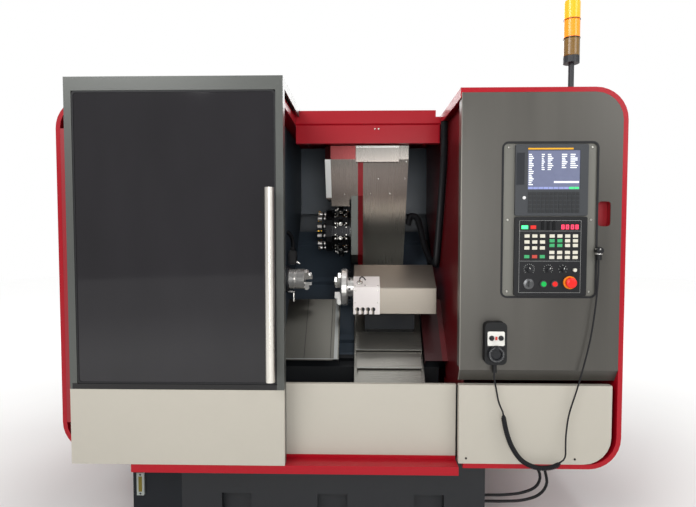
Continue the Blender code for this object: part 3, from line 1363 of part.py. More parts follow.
def build_second_spindle(kit):
    slope = kit.slope
    gap = SEAT_GAP
    saddle_foot = SADDLE_TOP - SADDLE_THICKNESS + gap
    saddle = box(
        "sub_saddle", (SUB_SADDLE_LEFT, SADDLE_LENGTH_LOW, saddle_foot),
        (SUB_SADDLE_RIGHT, SADDLE_LENGTH_MID, SADDLE_TOP), kit.black, kit.parts, slope,
        bevel=SADDLE_EDGE,
    )
    cover = as_mesh(prism(
        "sub_cover", [sub_cover_outline()], "x", SUB_BLOCK_LEFT, SUB_COVER_RIGHT, kit.steel, kit.parts
    ))
    add_bevel(cover, TRAY_SHEET, 2)

    seat = SADDLE_TOP + gap
    toe = slope_point(SUB_FOOT_LOW, seat)
    instep = slope_point(SUB_FOOT_LOW, SUB_INSTEP - WAY_COVER_TOP)
    heel = slope_point(SUB_FOOT_HIGH, seat)
    cover_back = FRONT_Y + SUB_COVER_BACK + gap
    foot_top = SUB_COVER_BOTTOM - gap
    prism(
        "sub_headstock",
        [[
            (FRONT_Y + SUB_FOOT_FRONT, foot_top), (FRONT_Y + SUB_FOOT_FRONT, SUB_FOOT_TOE), instep, toe, heel,
            (FRONT_Y + SUB_HEEL_BACK, SUB_HEEL_TOP), (cover_back, SUB_HEEL_TOP), (cover_back, foot_top),
        ]],
        "x", SUB_FOOT_LEFT, SUB_FOOT_RIGHT, kit.slate, kit.parts,
    )
    build_front_plate(kit)

    spin = empty_at("sub_spindle_axis", (SUB_CHUCK_LEFT, SUB_SHIFT, 0), (0, 0, 0), kit.parts, slope)
    length = SUB_CHUCK_LENGTH
    radius, neck = SUB_CHUCK_RADIUS, SUB_NECK_RADIUS
    neck_end = SUB_BLOCK_LEFT - SUB_CHUCK_LEFT - gap
    rim = radius * CHUCK_RIM_SHARE
    profile = [
        (0.0, -length), (SUB_BORE, -length), (SUB_BORE, 0.0), (radius - rim, 0.0), (radius, -rim),
        (radius, -length + rim), (radius - rim, -length), (neck, -length), (neck, -neck_end),
        (0.0, -neck_end),
    ]
    turned("sub_chuck", profile, (0, 0, 0), "-x", kit.chrome, kit.parts, spin, 32)
    for index in range(3):
        jaw(kit, f"sub_jaw_{index + 1}", spin, -1, index, SUB_JAW_LENGTH, SUB_JAW_WIDTH,
            (SUB_JAW_INNER, SUB_JAW_STEP, SUB_JAW_OUTER))
    build_way_covers(kit, saddle)


def build_front_plate(kit):
    """Pale block plate over the left part of the second spindle's cover."""
    gap = SEAT_GAP
    front = FRONT_Y + SUB_COVER_FRONT - gap
    brow = SUB_COVER_BROW
    rise = (SUB_COVER_TOP - brow) / (SUB_COVER_CREST - SUB_COVER_FRONT)
    run = (SUB_COVER_CREST - SUB_COVER_FRONT) * PLATE_TOP_SHARE
    sheet = PLATE_SHEET
    end = (front + run, brow + gap * 2 + run * rise)
    outline = [
        (front - sheet, SUB_COVER_BOTTOM), (front, SUB_COVER_BOTTOM), (front, brow + gap * 2), end,
        (end[0], end[1] + sheet * PLATE_END_SHARE),
        (front - sheet, brow + gap * 2 + sheet * PLATE_BROW_SHARE),
    ]
    plate = as_mesh(prism(
        "sub_front_plate", [outline], "x", SUB_BLOCK_LEFT, SUB_BLOCK_RIGHT, kit.pale, kit.parts
    ))
    pitch = (SUB_BLOCK_RIGHT - SUB_BLOCK_LEFT) / (KEYHOLE_COUNT + 1)
    keyholes = bpy.data.meshes.new("keyholes")
    shape = bmesh.new()
    for index in range(KEYHOLE_COUNT):
        across = SUB_BLOCK_LEFT + pitch * (index + 1) - pitch / 4
        centre = Matrix.Translation((across, front, SUB_COVER_BOTTOM + KEYHOLE_HEIGHT - KEYHOLE_RADIUS))
        bmesh.ops.create_cone(
            shape, cap_ends=True, segments=14, radius1=KEYHOLE_RADIUS, radius2=KEYHOLE_RADIUS,
            depth=2 * CUT_OVERRUN, matrix=centre @ Matrix.Rotation(math.pi / 2, 4, "X"),
        )
    shape.to_mesh(keyholes)
    shape.free()
    cut(plate, add_object("keyholes", keyholes, None, kit.cutters))
    slots = []
    for index in range(KEYHOLE_COUNT):
        across = SUB_BLOCK_LEFT + pitch * (index + 1) - pitch / 4
        half = KEYHOLE_RADIUS * KEYHOLE_NECK_SHARE
        slots.append((
            (across - half, front - CUT_OVERRUN, SUB_COVER_BOTTOM - CUT_OVERRUN),
            (across + half, front + CUT_OVERRUN, SUB_COVER_BOTTOM + KEYHOLE_HEIGHT - KEYHOLE_RADIUS),
        ))
    cut(plate, boxes_mesh("keyhole_necks", slots, kit.cutters))


def build_way_covers(kit, saddle):
    """Telescopic covers in front of the second spindle; the lowest is fixed to the saddle."""
    for index, (start, end) in enumerate(zip(WAY_COVER_STARTS, WAY_COVER_ENDS)):
        top = -WAY_COVER_TOP - index * WAY_COVER_STEP
        left = WAY_COVER_LEFT + index * WAY_COVER_NEST
        right = WAY_COVER_RIGHT - index * WAY_COVER_NEST
        sheet = WAY_COVER_SHEET
        foot = SADDLE_TOP + SEAT_GAP
        outline = [
            (left, foot), (left + sheet, foot), (left + sheet, top - sheet), (right - sheet, top - sheet),
            (right - sheet, foot), (right, foot), (right, top), (left, top),
        ]
        if index < len(WAY_COVER_STARTS) - 1:
            prism(f"way_cover_{index + 1}", [outline], "y", end, start, kit.steel, kit.parts, kit.slope)
        else:
            outline[0] = (left, foot - CUT_OVERRUN / 2)
            outline[1] = (left + sheet, foot - CUT_OVERRUN / 2)
            outline[4] = (right - sheet, foot - CUT_OVERRUN / 2)
            outline[5] = (right, foot - CUT_OVERRUN / 2)
            join(saddle, as_mesh(prism(
                "way_cover_fixed", [outline], "y", end, start, None, kit.cutters, kit.slope
            )))


def build_controls(kit):
    gap = SEAT_GAP
    plate_front = FRONT_Y + PANEL_SHEET + gap
    plate_back = plate_front + CONTROL_SHEET
    lap = CONTROL_LAP
    plate = box(
        "control_plate",
        (CONTROL_LEFT - lap, plate_front, CONTROL_BOTTOM - lap),
        (CONTROL_RIGHT + lap, plate_back, CONTROL_TOP + lap),
        kit.pale, kit.parts,
    )
    cup = as_mesh(prism(
        "hand_recess_cup", [hand_recess_outline(HAND_RECESS_SHEET)],
        "y", plate_front, plate_front + HAND_RECESS_DEPTH, None, kit.cutters,
    ))
    join(plate, cup)
    hollow = as_mesh(prism(
        "hand_recess_hollow", [hand_recess_outline(0.0)], "y", plate_front - CUT_OVERRUN,
        plate_front + HAND_RECESS_DEPTH - HAND_RECESS_SHEET, None, kit.cutters,
    ))
    cut(plate, hollow)
    back = plate_front - gap
    front = back - UNIT_DEPTH
    unit = as_mesh(prism(
        "display_unit",
        [rounded_rectangle(UNIT_LEFT, UNIT_RIGHT, UNIT_BOTTOM, UNIT_TOP, UNIT_DEPTH / 2, 2)],
        "y", front, back, kit.black, kit.parts,
    ))
    screen = (
        (SCREEN_LEFT, front - CUT_OVERRUN, SCREEN_BOTTOM), (SCREEN_RIGHT, front + SCREEN_RECESS, SCREEN_TOP)
    )
    cut(unit, boxes_mesh("screen_recess", [screen], kit.cutters))
    keys = []
    first = (SCREEN_LEFT + SCREEN_RIGHT) / 2 - KEY_PITCH * (KEYBOARD_COLUMNS - 1) / 2
    for row in range(KEYBOARD_ROWS):
        for column in range(KEYBOARD_COLUMNS):
            across = first + column * KEY_PITCH
            up = SCREEN_BOTTOM - KEY_PITCH * (row + 1)
            keys.append(key_box(across, up, KEY_SIZE, KEY_SIZE, front))
    join(unit, boxes_mesh("keyboard_keys", keys, kit.cutters))
    build_operation_panel(kit, front, back)


def key_box(across, up, width, height, front):
    return (
        (across - width / 2, front - KEY_RISE, up - height / 2),
        (across + width / 2, front + KEY_RISE, up + height / 2),
    )


def build_operation_panel(kit, front, back):
    panel = as_mesh(prism(
        "operation_panel",
        [rounded_rectangle(UNIT_LEFT, UNIT_RIGHT, OPERATION_BOTTOM, OPERATION_TOP, UNIT_DEPTH / 2, 2)],
        "y", front, back, kit.black, kit.parts,
    ))
    keys = []
    for start, columns, drops in (
        (LEFT_KEY_X, LEFT_KEY_COLUMNS, LEFT_KEY_DROPS), (RIGHT_KEY_X, RIGHT_KEY_COLUMNS, RIGHT_KEY_DROPS)
    ):
        keys += [
            key_box(
                start + column * PANEL_KEY_PITCH, KEY_TOP_Z - drop, PANEL_KEY_WIDTH, PANEL_KEY_HEIGHT, front
            ) for drop in drops for column in range(columns)
        ]
    join(panel, boxes_mesh("operation_keys", keys, kit.cutters))
    display = (
        (WINDOW_LEFT_X, front - CUT_OVERRUN, LAMP_ROW_Z - WINDOW_HEIGHT / 2),
        (WINDOW_LEFT_X + WINDOW_WIDTH, front + SCREEN_RECESS / 2, LAMP_ROW_Z + WINDOW_HEIGHT / 2),
    )
    cut(panel, boxes_mesh("display_window", [display], kit.cutters))

    face = front - SEAT_GAP
    for name, across, radius in zip(("spindle_knob", "feed_knob", "rapid_knob"), KNOB_PLACES, KNOB_RADII):
        override_knob(kit, name, (across, face, KNOB_ROW), radius)
    push_button(kit, "start_button", panel, (START_X, face, BUTTON_ROW), kit.green)
    push_button(kit, "stop_button", panel, (STOP_X, face, BUTTON_ROW), kit.button_red)
    key_switch(kit, (SWITCH_X, face, BUTTON_ROW))
    emergency_stop(kit, panel, (ESTOP_PLACE[0], face, ESTOP_PLACE[1]))


def override_knob(kit, name, place, radius):
    height = KNOB_HEIGHT
    skirt = height * KNOB_SKIRT_SHARE
    top = radius * KNOB_TOP_SHARE
    profile = [(0.0, height), (top, height), (top, skirt), (radius, skirt / 2), (radius, 0.0), (0.0, 0.0)]
    turned(name, profile, place, "-y", kit.knob, kit.parts, None, 20)


def push_button(kit, name, panel, place, material):
    """Button that slides in a bezel ring on the panel."""
    ring = BUTTON_RADIUS + SEAT_GAP
    rise = BUTTON_STROKE + KEY_RISE
    join(panel, turned(
        name + "_bezel",
        [(ring, rise), (BUTTON_BEZEL, rise), (BUTTON_BEZEL, -KEY_RISE), (ring, -KEY_RISE), (ring, rise)],
        place, "-y", None, kit.cutters, None, 20,
    ))
    profile = [
        (0.0, BUTTON_HEIGHT), (BUTTON_RADIUS - KEY_RISE, BUTTON_HEIGHT),
        (BUTTON_RADIUS, BUTTON_HEIGHT - KEY_RISE), (BUTTON_RADIUS, BUTTON_STROKE), (0.0, BUTTON_STROKE),
    ]
    turned(name, profile, place, "-y", material, kit.parts, None, 20)


def key_switch(kit, place):
    body = turned(
        "key_switch",
        [
            (0.0, BUTTON_HEIGHT), (SWITCH_RADIUS * SWITCH_BARREL_SHARE, BUTTON_HEIGHT),
            (SWITCH_RADIUS * SWITCH_BARREL_SHARE, KEY_RISE * 2), (SWITCH_RADIUS, KEY_RISE),
            (SWITCH_RADIUS, 0.0), (0.0, 0.0),
        ],
        place, "-y", kit.satin, kit.parts, None, 24,
    )
    half = SWITCH_RADIUS * SWITCH_GRIP_SHARE
    reach = SWITCH_RADIUS * SWITCH_BARREL_SHARE
    grip = (
        (place[0] - half, place[1] - BUTTON_HEIGHT * 2, place[2] - reach),
        (place[0] + half, place[1] - BUTTON_HEIGHT / 2, place[2] + reach),
    )
    join(body, boxes_mesh("switch_grip", [grip], kit.cutters))


def emergency_stop(kit, panel, place):
    collar_height = ESTOP_HEIGHT * ESTOP_COLLAR_SHARE
    ring = ESTOP_STEM + SEAT_GAP
    collar = turned(
        "estop_collar",
        [
            (ring, collar_height), (ESTOP_COLLAR - KEY_RISE, collar_height),
            (ESTOP_COLLAR, collar_height - KEY_RISE), (ESTOP_COLLAR, -KEY_RISE), (ring, -KEY_RISE),
            (ring, collar_height),
        ],
        place, "-y", kit.yellow, kit.cutters, None, 28,
    )
    join(panel, collar)
    crown = ESTOP_HEIGHT
    under = collar_height + ESTOP_STROKE + SEAT_GAP
    turned(
        "estop_button",
        [
            (0.0, crown), (ESTOP_RADIUS * ESTOP_CROWN_SHARE, crown),
            (ESTOP_RADIUS * ESTOP_SHOULDER_SHARE, crown - KEY_RISE),
            (ESTOP_RADIUS, crown - KEY_RISE * 2), (ESTOP_RADIUS, under), (ESTOP_STEM, under),
            (ESTOP_STEM, ESTOP_STROKE), (0.0, ESTOP_STROKE),
        ],
        place, "-y", kit.button_red, kit.parts, None, 28,
    )


def build_pendant(kit):
    gap = SEAT_GAP
    left, right = PENDANT_LEFT, PENDANT_LEFT + PENDANT_WIDTH
    top, bottom = PENDANT_TOP, PENDANT_TOP - PENDANT_HEIGHT
    back = FRONT_Y - gap
    front = back - PENDANT_DEPTH
    middle = (left + right) / 2
    body = as_mesh(prism(
        "pendant_body", [rounded_rectangle(left, right, bottom, top, PENDANT_CORNER, 4)],
        "y", front, back, kit.black, kit.parts,
    ))
    relief_y = (front + back) / 2
    join(body, cylinder(
        "pendant_relief", RELIEF_RADIUS, RELIEF_LENGTH + CUT_OVERRUN,
        (middle, relief_y, bottom - (RELIEF_LENGTH - CUT_OVERRUN) / 2), "z", None, kit.cutters, None, 16,
    ))
    wheel_z = bottom + WHEEL_RISE
    radius, height = WHEEL_RADIUS, WHEEL_HEIGHT
    wheel = turned(
        "pendant_wheel",
        [
            (0.0, height * WHEEL_DISH_SHARE), (radius * WHEEL_HUB_SHARE, height * WHEEL_DISH_SHARE),
            (radius * WHEEL_BOWL_SHARE, height), (radius * WHEEL_RIM_SHARE, height),
            (radius, height * WHEEL_EDGE_SHARE), (radius, 0.0), (0.0, 0.0),
        ],
        (middle, front - gap, wheel_z), "-y", kit.knob, kit.parts, None, 32,
    )
    crank = cylinder(
        "wheel_crank", radius * CRANK_RADIUS_SHARE, height,
        (middle, front - gap - height * CRANK_RISE_SHARE, wheel_z + radius * CRANK_PLACE_SHARE),
        "y", None, kit.cutters, None, 12,
    )
    join(wheel, crank)
    plug_x, plug_z = PLUG_PLACE
    plug_y = FRONT_Y - gap
    plug = cylinder(
        "cord_connector", PLUG_RADIUS, PLUG_RADIUS * 2,
        (plug_x, plug_y - PLUG_RADIUS, plug_z + PLUG_LENGTH), "y", kit.black, kit.parts, None, 16,
    )
    join(plug, cylinder(
        "connector_neck", PLUG_RADIUS * PLUG_NECK_SHARE, PLUG_LENGTH,
        (plug_x, plug_y - PLUG_RADIUS, plug_z + PLUG_LENGTH / 2), "z", None, kit.cutters, None, 16,
    ))


def placed(route, plane, share=1.0):
    """World points of a route that runs near an upright plane at a y place."""
    return [(across * ACROSS, plane + away * share, up) for across, away, up in route]


def build_cords(kit):
    """Pendant cord (thin, curly, thin), two machine cables, and the hose inside the machine."""
    middle = PENDANT_LEFT + PENDANT_WIDTH / 2
    start_z = PENDANT_TOP - PENDANT_HEIGHT - RELIEF_LENGTH - SEAT_GAP
    cord_y = FRONT_Y + CORD_SETBACK - SEAT_GAP
    coil = placed(COIL_ROUTE, cord_y)
    tube("pendant_cord_coil", coil, COIL_RADIUS, kit.rubber, kit.parts, None, 3, COIL_SPACING_SHARE)
    plug_x, plug_z = PLUG_PLACE
    plug_y = FRONT_Y - SEAT_GAP - PLUG_RADIUS
    settled = smooth_route(coil, COIL_RADIUS * COIL_SPACING_SHARE)
    enter = (settled[1] - settled[0]).normalized()
    meet = settled[0] - enter * 2 * SEAT_GAP
    run = CORD_RADIUS * CORD_END_SHARE
    upper = [(middle, cord_y, start_z), *placed(CORD_UPPER_ROUTE, cord_y), tuple(meet - enter * run)]
    upper.append(tuple(meet))
    tube("pendant_cord_upper", upper, CORD_RADIUS, kit.rubber, kit.parts, None, 2, CORD_END_SHARE)
    along = (settled[-1] - settled[-2]).normalized()
    leave = settled[-1] + along * 2 * SEAT_GAP
    lower = [
        tuple(leave), tuple(leave + along * run), tuple(leave + along * 2 * run),
        *placed(CORD_LOWER_ROUTE, cord_y), *placed(CORD_PLUG_ROUTE, plug_y),
        (plug_x, plug_y, plug_z - SEAT_GAP),
    ]
    tube("pendant_cord_lower", lower, CORD_RADIUS, kit.rubber, kit.parts, None, 2, CORD_SPACING_SHARE)

    foot = ENCLOSURE_BOTTOM - SEAT_GAP
    for name, begin, route in (
        ("machine_cable_1", CABLE_1_START, CABLE_1_ROUTE), ("machine_cable_2", CABLE_2_START, CABLE_2_ROUTE)
    ):
        across, away, height = route[-1]
        line = [(begin[0] * ACROSS, FRONT_Y + begin[1] * ALONG, foot), *placed(route, FRONT_Y, ALONG)]
        line.append((BASE_RIGHT + SEAT_GAP, FRONT_Y + away * ALONG, height))
        tube(name, line, CABLE_RADIUS, kit.rubber, kit.parts, None, 2, CABLE_SPACING_SHARE)

    wall_x = RIGHT_WALL_X - HOSE_RADIUS - HOSE_CLEARANCE
    roof = ENCLOSURE_TOP - HOUSING_FLANGE - SEAT_GAP
    column_x = COLUMN_RIGHT + HOSE_RADIUS
    sag = [(across * ACROSS, away, up) for across, away, up in HOSE_SAG_ROUTE]
    hose = [
        (across, FRONT_Y + away * ALONG, AXIS_HEIGHT + up) for across, away, up in (
            (column_x + SEAT_GAP, *HOSE_START), (column_x + HOSE_RISE[0], *HOSE_RISE[1:]), *sag,
            *((wall_x, *place) for place in HOSE_WALL_ROUTE),
        )
    ]
    hose += [(wall_x, FRONT_Y + HOSE_ROOF_SETBACK * ALONG, roof - drop) for drop in HOSE_ROOF_DROPS]
    tube("turret_hose", hose, HOSE_RADIUS, kit.rubber, kit.parts, None, 3, HOSE_SPACING_SHARE)


def build_lamp(kit):
    gap = SEAT_GAP
    place = (LAMP_X, FRONT_Y + LAMP_SETBACK, ENCLOSURE_TOP + gap)
    stack_foot = LAMP_TOP - LAMP_TIERS * LAMP_TIER - ENCLOSURE_TOP - gap
    radius, pole = LAMP_RADIUS, LAMP_POLE_RADIUS
    socket = stack_foot - LAMP_SOCKET_HEIGHT
    turned(
        "lamp_post",
        [
            (0.0, stack_foot), (radius, stack_foot), (radius, socket), (pole, socket),
            (pole, LAMP_BASE_HEIGHT), (LAMP_BASE_RADIUS, LAMP_BASE_HEIGHT), (LAMP_BASE_RADIUS, 0.0),
            (0.0, 0.0),
        ],
        place, "z", kit.black, kit.parts, None, 24,
    )
    rib = radius - LAMP_RIM
    profile = [(0.0, LAMP_TIER * LAMP_TIERS + stack_foot)]
    for index in reversed(range(LAMP_TIERS)):
        foot = stack_foot + index * LAMP_TIER
        top = foot + LAMP_TIER
        profile += [
            (rib, top), (rib, top - LAMP_NECK), (radius, top - LAMP_NECK - LAMP_RIM),
            (radius, foot + LAMP_RIM * 2),
        ]
    profile += [(rib, stack_foot + gap), (0.0, stack_foot + gap)]
    turned("lamp_lenses", profile, place, "z", kit.amber, kit.parts, None, 24)


class Kit:
    """Collections, materials and the tilted frame that every part uses."""

    def __init__(self):
        self.parts = new_collection("turning_lathe")
        self.cutters = new_collection("cutters")
        self.slope = empty_at("slope_frame", (0, AXIS_Y, AXIS_HEIGHT), (SLANT, 0, 0), self.parts)
        self.red = make_material("red_paint", linear(175, 35, 50), 0.35)
        self.grey = make_material("warm_grey_paint", linear(96, 93, 87), 0.32, 0.3)
        self.door_grey = make_material("door_grey_paint", linear(105, 106, 99), 0.4)
        self.cream = make_material("cream_paint", linear(180, 177, 165), 0.45)
        self.pale = make_material("pale_plate", linear(170, 170, 165), 0.4, 0.2)
        self.black = make_material("black_coat", linear(40, 43, 48), 0.5)
        self.slate = make_material("slate_paint", linear(35, 40, 46), 0.55)
        self.wall = make_material("blue_grey_wall", linear(50, 60, 70), 0.45)
        self.glass = make_material("smoked_window", linear(26, 24, 28), 0.05)
        self.steel = make_material("brushed_stainless", linear(150, 146, 140), 0.28, 1.0)
        self.steel_dark = make_material("blackened_steel", linear(60, 58, 56), 0.35, 0.9)
        self.chrome = make_material("ground_steel", linear(200, 198, 195), 0.18, 1.0)
        self.satin = make_material("satin_tube", linear(190, 185, 175), 0.25, 1.0)
        self.rubber = make_material("black_rubber", linear(28, 28, 30), 0.7)
        self.knob = make_material("knob_grey", linear(60, 62, 66), 0.4)
        self.green = make_material("green_plastic", linear(30, 150, 80), 0.35)
        self.button_red = make_material("red_plastic", linear(205, 40, 30), 0.35)
        self.yellow = make_material("yellow_plastic", linear(225, 185, 30), 0.4)
        self.amber = make_material("amber_lens", linear(255, 150, 30), 0.25)


def main():
    clear_scene()
    kit = Kit()
    build_base(kit)
    build_housings(kit)
    build_inner_walls(kit)
    build_door(kit)
    build_door_rails(kit)
    build_front_panels(kit)
    build_spindles(kit)
    build_turret(kit)
    build_second_spindle(kit)
    build_controls(kit)
    build_pendant(kit)
    build_cords(kit)
    build_lamp(kit)
    print("objects", len([thing for thing in kit.parts.objects if thing.type != "EMPTY"]))


main()
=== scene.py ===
"""Looks of an enclosed twin-spindle turning lathe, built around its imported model.

All places are in metres in the model's frame: +X to the right of the operator, +Y to the back, +Z up.
"""

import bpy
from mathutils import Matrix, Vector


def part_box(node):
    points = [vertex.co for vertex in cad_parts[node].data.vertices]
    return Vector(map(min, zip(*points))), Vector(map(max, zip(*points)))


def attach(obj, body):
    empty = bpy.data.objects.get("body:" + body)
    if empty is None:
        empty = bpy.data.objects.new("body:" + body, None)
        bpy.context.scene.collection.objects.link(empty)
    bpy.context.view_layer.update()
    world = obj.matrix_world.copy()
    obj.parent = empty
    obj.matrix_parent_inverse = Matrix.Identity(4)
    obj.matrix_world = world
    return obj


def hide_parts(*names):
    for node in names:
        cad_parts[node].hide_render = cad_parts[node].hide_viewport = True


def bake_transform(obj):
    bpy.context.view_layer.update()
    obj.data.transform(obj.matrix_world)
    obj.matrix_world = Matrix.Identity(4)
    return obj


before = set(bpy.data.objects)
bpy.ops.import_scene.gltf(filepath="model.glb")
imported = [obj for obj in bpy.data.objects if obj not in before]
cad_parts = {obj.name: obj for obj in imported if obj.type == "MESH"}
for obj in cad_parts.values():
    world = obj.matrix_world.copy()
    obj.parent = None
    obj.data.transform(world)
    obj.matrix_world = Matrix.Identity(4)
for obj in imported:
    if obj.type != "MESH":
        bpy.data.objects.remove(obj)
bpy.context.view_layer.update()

import math

import bmesh
import bpy
from bpy.props import FloatProperty, FloatVectorProperty, IntProperty, PointerProperty
from mathutils import Matrix, Vector

bl_info = {
    "name": "Turning lathe looks",
    "version": (1, 0, 0),
    "blender": (4, 5, 0),
    "location": "3D View > Sidebar > Lathe",
    "description": "Materials, controls, cords and small fittings of an enclosed turning lathe",
    "category": "Object",
}

# Numbers of a Mix node's colour sockets.
MIX_FIRST = 6
MIX_SECOND = 7
MIX_RESULT = 2

# Depth of the cabinet's front, the thin air between a fitting and its seat, and the way to the operator.
FRONT = -0.705
GAP = 0.0003
OUTWARD = (0, -1, 0)

# Axes of the main spindle, the second spindle and the turret as (along, up).
AXIS = (-0.105, 1.045)
SUB_AXIS = (-0.14389, 1.00611)
TURRET_AXIS = (0.14503, 1.29503)
TURRET_STATIONS = 12

# Turret column: a place on its leaning face as (along, up), its lean, its heights and its cover's left edge.
COLUMN_FACE = (-0.105, 1.666)
COLUMN_LEAN = 0.5652
COLUMN_FOOT = 1.09
COLUMN_CREST = 1.736
COLUMN_BOX_LEFT = 0.103

# Directions of the sloped covers: out of them, and down along them.
SLOPE_NORMAL = Vector((0, -1, 1)).normalized()
SLOPE_DOWN = Vector((0, -1, -1)).normalized()

# Keyholes in the second spindle's pale plate.
KEYHOLES = 4
KEYHOLE_RADIUS = 0.011

# Operation panel: depth of its face, its coloured keys, and its button rings as (across, up).
PANEL_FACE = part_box("spindle_knob")[1].y + GAP
CAP_RISE = 0.0008
LEFT_KEYS_FOOT = 1.205
LEFT_KEYS_END = 0.878
RED_KEY = (0.8135, 0.8435)
GREEN_KEYS = (0.883, 0.9425)
GREEN_ROWS = (1.229, 1.2665)
BEZELS = ((0.865, 1.0825), (0.9098, 1.0825))
BEZEL_RADIUS = 0.0145
STOP_COLLAR = (0.9697, 1.0886)
STOP_COLLAR_RADIUS = 0.027

# Override dials: knob, place across, radius and count of the ticks, pointer's radius and its turn in degrees.
DIAL_HEIGHT = 1.142
DIALS = (
    ("spindle_knob", 0.808, 0.0205, 13, 0.0108, 120),
    ("feed_knob", 0.8834, 0.0175, 11, 0.0086, 60),
    ("rapid_knob", 0.9424, 0.0165, 7, 0.0079, 100),
)

# Left edge of the hand recess beside the control plate.
RECESS_EDGE = 1.082

# Pendant: place across of its middle, height of its hand wheel, and depth and radius of the wheel's ticks.
PENDANT_MIDDLE = 0.670
WHEEL_HEIGHT = 0.804
WHEEL_FACE = -0.7618
WHEEL_TICK_RADIUS = 0.0275
WHEEL_TICKS = 50

# Places where the colour changes: up the bed, where the slate meets the walls' blue-grey lightened as painted
# light, and across the left and the right wall, where the right wall's painted-shade red meets its guard's
# painted red reflection.
BED_PAINT_FOOT = 0.655
WALL_RED_EDGE = -1.0
WALL_GUARD_EDGE = 0.53

# Camera, with its angles in degrees.
CAMERA_PLACE = (0.125, FRONT - 2.13, 1.30)
CAMERA_LENS = 27.05
CAMERA_SENSOR = 36.0
CAMERA_TILT = 90 - 2.57
CAMERA_TURN = 1.31

# Lamps: name, place, aim, width and height in metres, and power in watts.
LAMPS = (
    ("key_lamp", (-2.6, -4.2, 4.2), (0, 0, 0.9), (2.6, 2.6), 170),
    ("fill_lamp", (3.4, -3.6, 3.0), (0.2, 0, 0.9), (2.4, 2.4), 60),
    ("front_lamp", (0.55, -4.4, 1.5), (0.15, 0.2, 1.15), (1.0, 1.6), 45),
    ("top_lamp", (0.2, 0.4, 5.0), (0.2, 0, 0), (3.0, 3.0), 110),
    ("back_lamp", (0.6, 4.4, 3.6), (0, 0, 0.9), (2.6, 2.6), 80),
)

# Strength of the surroundings as a light, and what mirrors see on top of it.
SURROUNDINGS_LIGHT = 0.42
SURROUNDINGS_GLOSS = 0.18

# Floor: its radius, how far from the middle its fade to white starts, and how long the fade is.
FLOOR_RADIUS = 14.0
FADE_START = 1.4
FADE_LENGTH = 3.2


def paint_colour(red, green, blue):
    """Linear colour of an sRGB colour in 0 to 255."""
    return tuple((level / 255) ** 2.2 for level in (red, green, blue))


def toned(tint, share):
    """A colour made darker or lighter by a share of itself."""
    return tuple(min(1.0, level * share) for level in tint)


class Wire:
    """A shader socket that combines with numbers and other sockets by + - * / ** and comparisons."""

    def __init__(self, nodes, socket):
        self.nodes = nodes
        self.socket = socket

    def _math(self, operation, first, second=None):
        inputs = {0: first} if second is None else {0: first, 1: second}
        return self.nodes.node("Math", {"operation": operation}, inputs)

    def __add__(self, other):
        return self._math("ADD", self, other)

    def __radd__(self, other):
        return self._math("ADD", other, self)

    def __sub__(self, other):
        return self._math("SUBTRACT", self, other)

    def __rsub__(self, other):
        return self._math("SUBTRACT", other, self)

    def __mul__(self, other):
        return self._math("MULTIPLY", self, other)

    def __rmul__(self, other):
        return self._math("MULTIPLY", other, self)

    def __truediv__(self, other):
        return self._math("DIVIDE", self, other)

    def __rtruediv__(self, other):
        return self._math("DIVIDE", other, self)

    def __gt__(self, other):
        return self._math("GREATER_THAN", self, other)

    def __lt__(self, other):
        return self._math("LESS_THAN", self, other)

    def __pow__(self, other):
        return self._math("POWER", self, other)

    def __rpow__(self, other):
        return self._math("POWER", other, self)

    def __abs__(self):
        return self._math("ABSOLUTE", self)

    def root(self):
        """Square root."""
        return self._math("SQRT", self)

    def wrapped(self, period):
        """Value that runs up to the period and back down to 0, over and over."""
        return self._math("PINGPONG", self, period)

    def between(self, low, high):
        """Mask that is 1 between two values."""
        return (self > low) * (self < high)

    def larger(self, other):
        """The larger of two values."""
        return self._math("MAXIMUM", self, other)


class ShaderNodes:
    """The nodes of one material or of the surroundings, all made and fed in the same way."""

    def __init__(self, tree):
        self.tree = tree

    def node(self, kind, settings=None, inputs=None, output=0):
        """Add a node: its settings first, then numbers, colours or wires on its sockets."""
        made = self.tree.nodes.new("ShaderNode" + kind)
        for setting, value in (settings or {}).items():
            if setting == "stops":
                self._set_stops(made.color_ramp, value)
            else:
                setattr(made, setting, value)
        for socket, value in (inputs or {}).items():
            self.feed(made.inputs[socket], value)
        return Wire(self, made.outputs[output])

    def feed(self, socket, value):
        """Link a wire to a socket, or set the socket to a value."""
        if isinstance(value, Wire):
            self.tree.links.new(value.socket, socket)
        else:
            socket.default_value = value

    @staticmethod
    def _set_stops(ramp, stops):
        while len(ramp.elements) < len(stops):
            ramp.elements.new(1.0)
        for element, (place, shade) in zip(ramp.elements, stops):
            element.position = place
            element.color = shade

    def parts_of(self, vector):
        """The three parts of a vector."""
        split = self.node("SeparateXYZ", inputs={"Vector": vector}).socket.node
        return [Wire(self, socket) for socket in split.outputs]

    def blend(self, amount, first, second):
        """Colour between two colours, each of them a plain colour or a wire."""
        first, second = (
            value if isinstance(value, Wire) else (*value, 1.0) for value in (first, second)
        )
        inputs = {0: amount, MIX_FIRST: first, MIX_SECOND: second}
        return self.node("Mix", {"data_type": "RGBA"}, inputs, MIX_RESULT)


